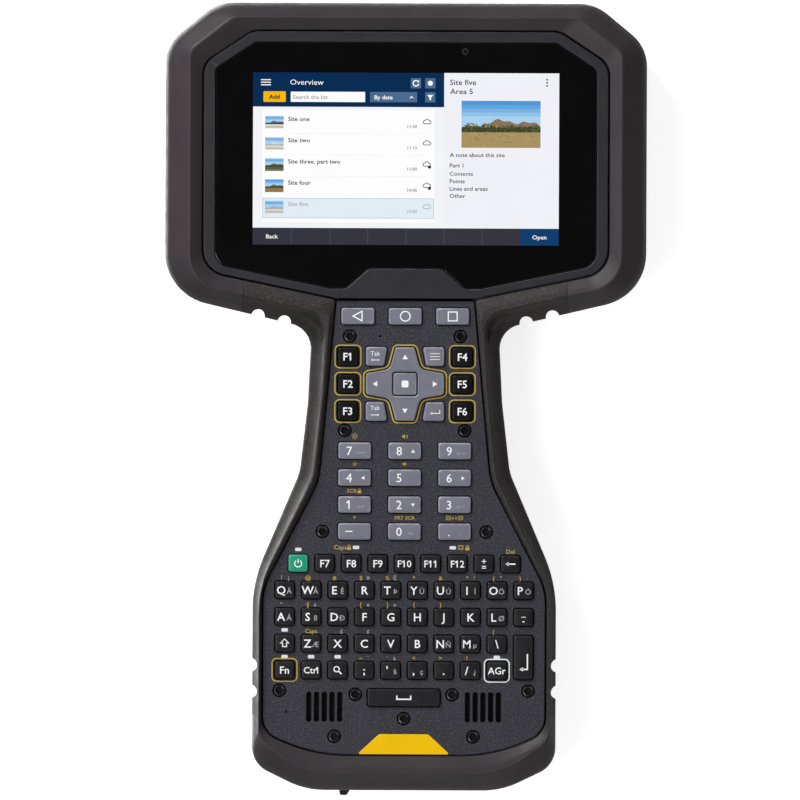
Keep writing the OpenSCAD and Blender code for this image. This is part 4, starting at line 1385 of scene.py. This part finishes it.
def socket_screw(piece, at, r, socket_r, up=1):
    """A screw's head with a six-sided socket. Its top face is at the given place."""
    turns = [math.pi / 18 * k for k in range(36)]
    face = [(r, -1.0), (r, -0.32), (r - 0.12, -0.1), (r - 0.34, 0), (r * 0.72, 0)]
    rings = [([radius] * len(turns), z) for radius, z in face]
    flats = [math.cos(math.pi / 6) / math.cos(a % (math.pi / 3) - math.pi / 6) for a in turns]
    rings += [([socket_r * scale * flat for flat in flats], z)
              for scale, z in [(1.08, 0), (1.0, -0.12), (0.96, -0.85)]]
    piece.tube([[(at[0] + reach * math.cos(a), at[1] + reach * math.sin(a), at[2] + up * z)
                 for a, reach in zip(turns, reaches)] for reaches, z in rings])


GOLD, WHITE, PAINTED_SHADE, GREY = range(4)    # slots of the fascia's inks and of its painted shade
SIGN_ABOVE = 4.5                       # from a key's centre up to the sign over it
SIGNS = {                              # over each key, in gold and then in grey
    "q_row": [("!", "¡"), ("@",), ("#",), ("$", "¤"), ("%", "€"), ("^",), ("&",), ("*", "¹"),
              ("(", "°"), (")", "·")],
    "a_row": [("ª",), ("§", "s"), (), ("[", "«"), ("]", "»"), ("{",), ("}",), (), (), ()],
    "shift_row": [(), ("Caps",), ("", "£"), ("", "¢"), (), (), (), (), ("|",)],
    "control_row": [(), (), (), ("~", "¨"), ("`", "a"), ("<",), (">",), ("?",), ()],
}


def make_prints():
    """What is printed on the fascia: outlines round keys, with painted shade inside them, and signs over
    them.
    """
    ink = Piece("keypad_face_prints_and_painted_shade", INK_GOLD, INK_WHITE, PAINTED_SHADE_INK, INK_GREY)

    def frame_round(around, hole, width, slot):
        """A black band round a key, painted shadow of the hollow round it, with a line on its outer edge."""
        band = filled([rounded(inset(around, 0.1), 6), rounded(hole, 4)])
        mark(ink, band, (0, 0), FASCIA_TOP, 0.012, PAINTED_SHADE)
        line = stroke(rounded(around, 8), width, closed=True)
        mark(ink, line, (0, 0), FASCIA_TOP, 0.022, slot)

    def frame_key(outline, w, r, width, slot):
        around = box_outline(w, 8.2, r, centre_of(outline))
        frame_round(around, inset(outline, -HOLE_GAP - 0.22), width, slot)

    def note(shape, x, y, slot=GOLD, scale=1.0):
        mark(ink, shape, (x, y), FASCIA_TOP, 0.018, slot, scale=scale)

    for node in F_KEYS:
        frame_key(OUTLINES[node][0], 9.3, 1.7, 0.44, GOLD)
    frame_round(PAD_LINE, inset(PAD_KEY, -0.6), 0.5, GOLD)
    for outline, entry in zip(OUTLINES["control_row"], LETTERS["control_row"]):
        if entry[0] in ("Fn", "AGr"):
            frame_key(outline, 9.0, 1.6, 0.42, GOLD if entry[0] == "Fn" else WHITE)

    for node, row in SIGNS.items():
        for outline, entry in zip(OUTLINES[node], row):
            x, y = centre_of(outline)
            for sign, aside, slot in zip(entry, (-1.25, 1.35), (GOLD, GREY)):
                if sign:
                    note(words(sign, 1.6, 0.008), x + (aside if len(sign) == 1 else 0), y + SIGN_ABOVE, slot)
    grid = [OUTLINES[n] for n in NUMBER_ROWS]
    left, mid, right = (centre_of(o)[0] for o in grid[0])
    ys = [centre_of(row[0])[1] + 5.0 for row in grid]
    note(sun(0.55), left, ys[0] + 0.2)
    note(loudspeaker(2), mid - 0.2, ys[0] + 0.2, scale=0.95)
    note(sun(0.35), left, ys[1], scale=0.8)
    note(loudspeaker(1), mid, ys[1], scale=0.9)
    note(words("SCR", 1.45, 0.01), left - 1.0, ys[2])
    note(lock(), left + 1.75, ys[2], scale=0.9)
    note(words("*", 1.6), left, ys[3] - 0.2)
    note(words("PRT SCR", 1.4, 0.008), mid, ys[3])
    note(keyboard_icon(), right - 2.2, ys[3], scale=0.85)
    note(words("↔", 1.3), right, ys[3])
    note(keyboard_icon(), right + 2.2, ys[3], scale=0.85)
    caps_y = LENSES[0].y + 0.1
    note(words("Caps", 1.65, 0.008), LENSES[0].x - 5.7, caps_y)
    note(lock(), LENSES[0].x - 2.5, caps_y)
    note(keyboard_icon(), LENSES[1].x + 2.9, caps_y, scale=0.9)
    note(lock(), LENSES[1].x + 5.3, caps_y)
    x, y = centre_of(OUTLINES["function_row"][-1])
    note(words("Del", 1.6, 0.008), x, y + SIGN_ABOVE)
    ink.done("root", "fascia_plastic")


make_keys()
make_pad()
make_fascia()
make_prints()


# ---- the back, and what opens or comes out ----

DOOR_LOW, DOOR_HIGH = node_box("battery_door")
LATCH_LOW, LATCH_HIGH = node_box("battery_latch")
REAR_Z = DOOR_LOW.z        # the rear face's height, inside the rim
ROOT_IN = -0.4             # how deep what stands on the rear face is rooted in it
RIB_LENGTHS = (38, 50, 50, 50, 50, 50, 50, 50, 38)
RIBS_TOP, RIB_PITCH = -58, 7.2
REAR_PADS = ((7, 30, 3, 66, 87), (16, 5, 2.2, 22, -124))   # width, height, rounding and centre
INSERT_R = 1.65
LATCH_TAB = 14             # width of the latch's thumb tab
CAMERA_R = 4.4             # the rear camera's window
DOOR_RIBS, DOOR_RIB_PITCH = 6, 4.0
CAD_PAINTS = {             # the CAD parts that stay in sight
    "rear_housing": HOUSING, "housing_gasket": SEAL, "front_chassis": HOUSING, "display_gasket": FOAM,
    "lcd_module": STEEL, "keypad_membrane": SHEET, "keypad_board": BOARD, "main_board": BOARD,
    "battery_pack": WRAP, "speakers": SPEAKER, "speaker_meshes": CLOTH, "microphones": SPEAKER,
    "front_camera": SPEAKER, "rear_camera": SPEAKER, "rear_screws": STEEL_BLACK, "mount_inserts": BRASS,
    "gnss_antenna": CERAMIC, "usb_port": STEEL, "dpad_pivot": SHEET,
}


for node, paint in CAD_PAINTS.items():
    for place in NODES[node].material_slots:
        place.material = paint


def facing_down(piece, z):
    """Turns a piece over, so that what was built upwards from 0 hangs down from z."""
    piece.verts = [(x, y, z - h) for x, y, h in piece.verts]
    return piece


def make_rear_relief():
    """Ribs, pads and rings that stand on the rear face."""
    ribs = Piece("rear_grip_ribs", GRIP)
    for k, length in enumerate(RIB_LENGTHS):
        rib = box_outline(length, 2.6, 1.25, (0, RIBS_TOP - RIB_PITCH * k))
        cap(ribs, rib, ROOT_IN, 1.15, 0.5, 0.1, 3)
    facing_down(ribs, REAR_Z).done("root", "grip_rubber")

    pads = Piece("rear_corner_pads", BUMPER)
    for side in (-1, 1):
        for w, h, r, x, y in REAR_PADS:
            cap(pads, box_outline(w, h, r, (side * x, y)), ROOT_IN, 1.5)
    facing_down(pads, REAR_Z).done("root", "bumper_rubber")

    land = Piece("rear_mount_land", HOUSING)
    inserts = [middle(b) for b in solids("mount_inserts")]
    reach, low, high = max(p.x for p in inserts), min(p.y for p in inserts), max(p.y for p in inserts)
    mid_y = (high + low) / 2
    plate(land, box_outline(2 * reach + 7.4, high - low + 13, 3.4, (0, mid_y)), ROOT_IN, 0.7,
          [circle(3.1, p, 36) for p in inserts], edge=0.35)
    for dy in (-6, 0, 6):
        plate(land, box_outline(24, 1.2, 0.55, (0, mid_y + dy)), 0.6, 0.95, edge=0.15)
    facing_down(land, REAR_Z).done("root", "housing_plastic")

    rings = Piece("rear_mount_rings", BRASS)
    for p in inserts:
        ring_round(rings, p, INSERT_R + 0.05, 2.95, -0.3, 0.45)
    facing_down(rings, REAR_Z).done("root", "insert_brass")

    eye = middle(node_box("rear_camera"))
    rim = Piece("rear_camera_rim", STEEL_BLACK, WINDOW)
    ring_round(rim, eye, CAMERA_R - 0.9, CAMERA_R + 1.4, ROOT_IN, 0.9)
    ring_round(rim, eye, 1.7, 2.3, -0.42, 0.12)
    ring_round(rim, eye, CAMERA_R - 2.2, CAMERA_R - 0.9, -0.5, 0.06)
    turned(rim, [(CAMERA_R - 2.2, -0.5), (CAMERA_R - 2.2, -0.12), (1.0, 0.05)], (eye.x, eye.y, 0), slot=1)
    facing_down(rim, REAR_Z).done("root", "camera_window")

    heads = Piece("rear_screw_heads", STEEL_BLACK)
    for low, high in solids("rear_screws"):
        p = middle((low, high))
        socket_screw(heads, (p.x, p.y, low.z), (high.x - low.x) / 2, 1.5, up=-1)
    heads.done("root", "black_steel")


def ring_round(piece, at, r0, r1, z0, z1):
    plate(piece, circle_outline(r1, at), z0, z1, [circle_outline(r0, at)], edge=0.12, steps=12,
          hole_steps=12)


def circle_outline(r, at):
    """A circle as an outline of four round corners."""
    return box_outline(2 * r, 2 * r, r - 0.001, at)


def hinge_pins(piece, start, end, y, z):
    """A pin on each side, along X from start out to end."""
    for side in (-1, 1):
        turned(piece, [(PIN_R, side * start), (PIN_R, side * (end - 0.2)), (PIN_R - 0.2, side * end)],
               (0, y, z), "x", 20)


def make_door():
    lid = Piece("battery_door_lid", HOUSING)
    foot, top = DOOR_LOW.y, DOOR_HIGH.y
    w, t = 2 * min(-DOOR_LOW.x, DOOR_HIGH.x) - 2 * TRUNNION, DOOR_HIGH.z - DOOR_LOW.z
    latch_slot = box_outline(LATCH_TAB + 0.7, 9.0, 0.8, (0, foot + 7.0))
    plate(lid, box_outline(w, top - foot, 0.7, (0, (top + foot) / 2)), -t, 0, [latch_slot], edge=0.35,
          steps=5, grid=2.5)
    for side in (-1, 1):
        for k in range(DOOR_RIBS):
            rib = box_outline(30, 1.3, 0.6, (side * 29, foot + 11 + DOOR_RIB_PITCH * k))
            plate(lid, rib, -0.3, 0.4, edge=0.18)
    for y in (foot + 36, top - 5):
        plate(lid, box_outline(w - 10, 1.0, 0.45, (0, y)), -0.3, 0.35, edge=0.15)
    facing_down(lid, DOOR_LOW.z).done("battery_door", "housing_plastic", "battery_door")
    pins = Piece("battery_door_pins", HOUSING)
    hinge_pins(pins, w / 2 - 1, w / 2 + TRUNNION, top - t / 2, DOOR_LOW.z + t / 2)
    pins.done("battery_door", "housing_plastic")


def make_latch():
    slider, tab = Piece("battery_latch_slider", LATCH), Piece("tab", LATCH)
    x0, y0, _ = LATCH_LOW
    x1, y1, top = LATCH_HIGH
    plate(slider, box_outline(x1 - x0, y1 - y0, 0.6, (0, (y0 + y1) / 2)), top - 1, top, edge=0.12)
    tab_y = y0 + 4.5
    plate(tab, box_outline(LATCH_TAB, 5.2, 0.7, (0, tab_y)), 0, 1.8, edge=0.3)
    for k in range(4):
        cap(tab, box_outline(LATCH_TAB - 3, 0.6, 0.28, (0, tab_y - 1.65 + 1.1 * k)), 1.6, 1.92, 0.12, 0.03, 3)
    facing_down(tab, top - 0.9)
    slider.add(tab.verts, tab.faces)
    slider.done("battery_latch", "latch_red", "battery_latch")


def make_stylus():
    pen = Piece("stylus_pen", STYLUS, STEEL)
    foot, tip = STYLUS_LOW.y, STYLUS_HIGH.y
    at = (STYLUS_X, 0, STYLUS_Z)
    r = STYLUS_R
    start = foot + 2.0
    profile = [(r - 0.35, start), (r, start + 0.5), (r, start + 13), (r - 0.25, start + 13.3),
               (r - 0.25, start + 14.2), (r, start + 14.5)]
    y = start + 20
    while y < tip - 30:
        profile += [(r, y), (r - 0.2, y + 0.25), (r - 0.2, y + 0.85), (r, y + 1.1)]
        y += 2.2
    profile += [(r, tip - 7.2), (2.2, tip - 6), (1.1, tip - 1.4)]
    turned(pen, profile, at, "y", 40)
    turned(pen, [(0.95, tip - 1.6), (0.85, tip - 0.5), (0.55, tip - 0.1), (0.3, tip)], at, "y", 24)
    turned(pen, [(r + 0.01, start + 15.5), (r + 0.02, start + 15.7), (r + 0.02, start + 16.8),
                 (r + 0.01, start + 17)], at, "y", 40, slot=1)
    heel = moved([(-2.1, 2.4, 0.3), (2.15, 2.4, 0.3), (0.75, 0, 0.5), (-1.75, 0, 0.5)], (STYLUS_X, foot))
    plate(pen, heel, STYLUS_Z - 1.8, STYLUS_Z + 1.8, edge=0.3, steps=5)
    pen.done("stylus", "stylus_plastic", "stylus")


def make_port_cover():
    flap, face = Piece("port_cover_flap", BUMPER), Piece("face", BUMPER)
    w, h, t = 2 * COVER_HALF, COVER_HIGH.z - COVER_LOW.z, COVER_T
    plate(face, box_outline(w, h, 1.2), 0, t, edge=0.35)
    for k in range(3):
        cap(face, box_outline(9 - k, 0.8, 0.38, (0, h / 2 - 2.0 - 1.5 * k)), t - 0.2, t, 0.1, 0.02, 3)
    cap(face, box_outline(w - 6, h - 3.2, 1.0, (0, 0.1)), -1.35, 0.2, 0.4, 0.05, 3)
    mid_z = (COVER_HIGH.z + COVER_LOW.z) / 2
    flap.add([(x, COVER_LOW.y + t - d, mid_z + z) for x, z, d in face.verts], face.faces)
    hinge_pins(flap, COVER_HALF - 1, COVER_HIGH.x, *COVER_PIN)
    flap.done("port_cover", "bumper_rubber", "port_cover")


make_rear_relief()
make_door()
make_latch()
make_stylus()
make_port_cover()


# ---- floor, lights and sky ----

FLOOR_HALF = 3.0           # in metres
FLOOR_Z = -0.4


def make_floor():
    """A pale floor. It is seen from above only, so that a view from below shows the object's back."""
    mesh = bpy.data.meshes.new("floor")
    side, z = FLOOR_HALF, FLOOR_Z * MM
    corners = [(-side, -side, z), (side, -side, z), (side, side, z), (-side, side, z)]
    mesh.from_pydata(corners, [], [(0, 1, 2, 3)])
    paint = bpy.data.materials.new("floor_paint")
    paint.use_nodes = True
    tree = paint.node_tree
    where = shader_node(tree, "TexCoord", "Object")
    grain = shader_node(tree, "TexNoise", "Fac", {"Scale": 60, "Vector": where})
    set_inputs(tree, tree.nodes["Principled BSDF"], {
        "Base Color": shader_node(tree, "MapRange", "Result", {
            "Value": grain, "To Min": 0.93, "To Max": 0.97}),
        "Roughness": 0.9, "Specular IOR Level": 0.1,
        "Emission Color": (1, 1, 1, 1), "Emission Strength": 0.75})
    seen = shader_node(tree, "MixShader", "Shader", {
        "Fac": shader_node(tree, "NewGeometry", "Backfacing"),
        1: tree.nodes["Principled BSDF"].outputs["BSDF"],
        2: shader_node(tree, "BsdfTransparent", "BSDF")})
    set_inputs(tree, tree.nodes["Material Output"], {"Surface": seen})
    mesh.materials.append(paint)
    floor = in_scene("floor", mesh)
    for ray in ("shadow", "diffuse", "glossy", "transmission"):
        setattr(floor, "visible_" + ray, False)    # so it lights nothing and isn't mirrored


LIGHTS = [                 # name, place in metres, side in metres and power in watts
    ("key_light", (-1.0, 1.3, 0.85), 0.6, 32),
    ("top_light", (-1.0, -0.45, 1.6), 0.8, 14),
    ("low_light", (0.1, -1.7, 0.3), 0.8, 3),
    ("back_light", (-0.5, 0.4, -1.6), 1.2, 30),
]
LIT_POINT = Vector((0, 0, 0.02))


def area_light(name, place, size, power):
    """A square soft light, turned to the middle of the object."""
    data = bpy.data.lights.new(name, "AREA")
    data.shape = "SQUARE"
    data.size = size
    data.energy = power
    light = in_scene(name, data)
    light.location = place
    light.rotation_euler = (Vector(place) - LIT_POINT).to_track_quat("Z", "Y").to_euler()


def make_sky():
    """A soft surround, darker overhead, where a studio's camera stands. The camera sees it as white."""
    world = bpy.data.worlds.new("studio")
    bpy.context.scene.world = world
    world.use_nodes = True
    tree = world.node_tree
    where = shader_node(tree, "TexCoord", "Generated")
    height = shader_node(tree, "SeparateXYZ", "Z", {"Vector": where})
    surround = shader_node(tree, "MapRange", "Result", {
        "Value": height, "From Min": 0.85, "From Max": 0.98, "To Min": 0.34, "To Max": 0.03},
        interpolation_type="SMOOTHSTEP")
    camera_ray = shader_node(tree, "LightPath", "Is Camera Ray")
    seen = shader_node(tree, "MapRange", "Result", {
        "Value": camera_ray, "To Min": surround, "To Max": 0.95})
    set_inputs(tree, tree.nodes["Background"], {"Color": (1, 1, 1, 1), "Strength": seen})


make_floor()
for light in LIGHTS:
    area_light(*light)
make_sky()
bpy.context.scene.view_settings.view_transform = "Standard"
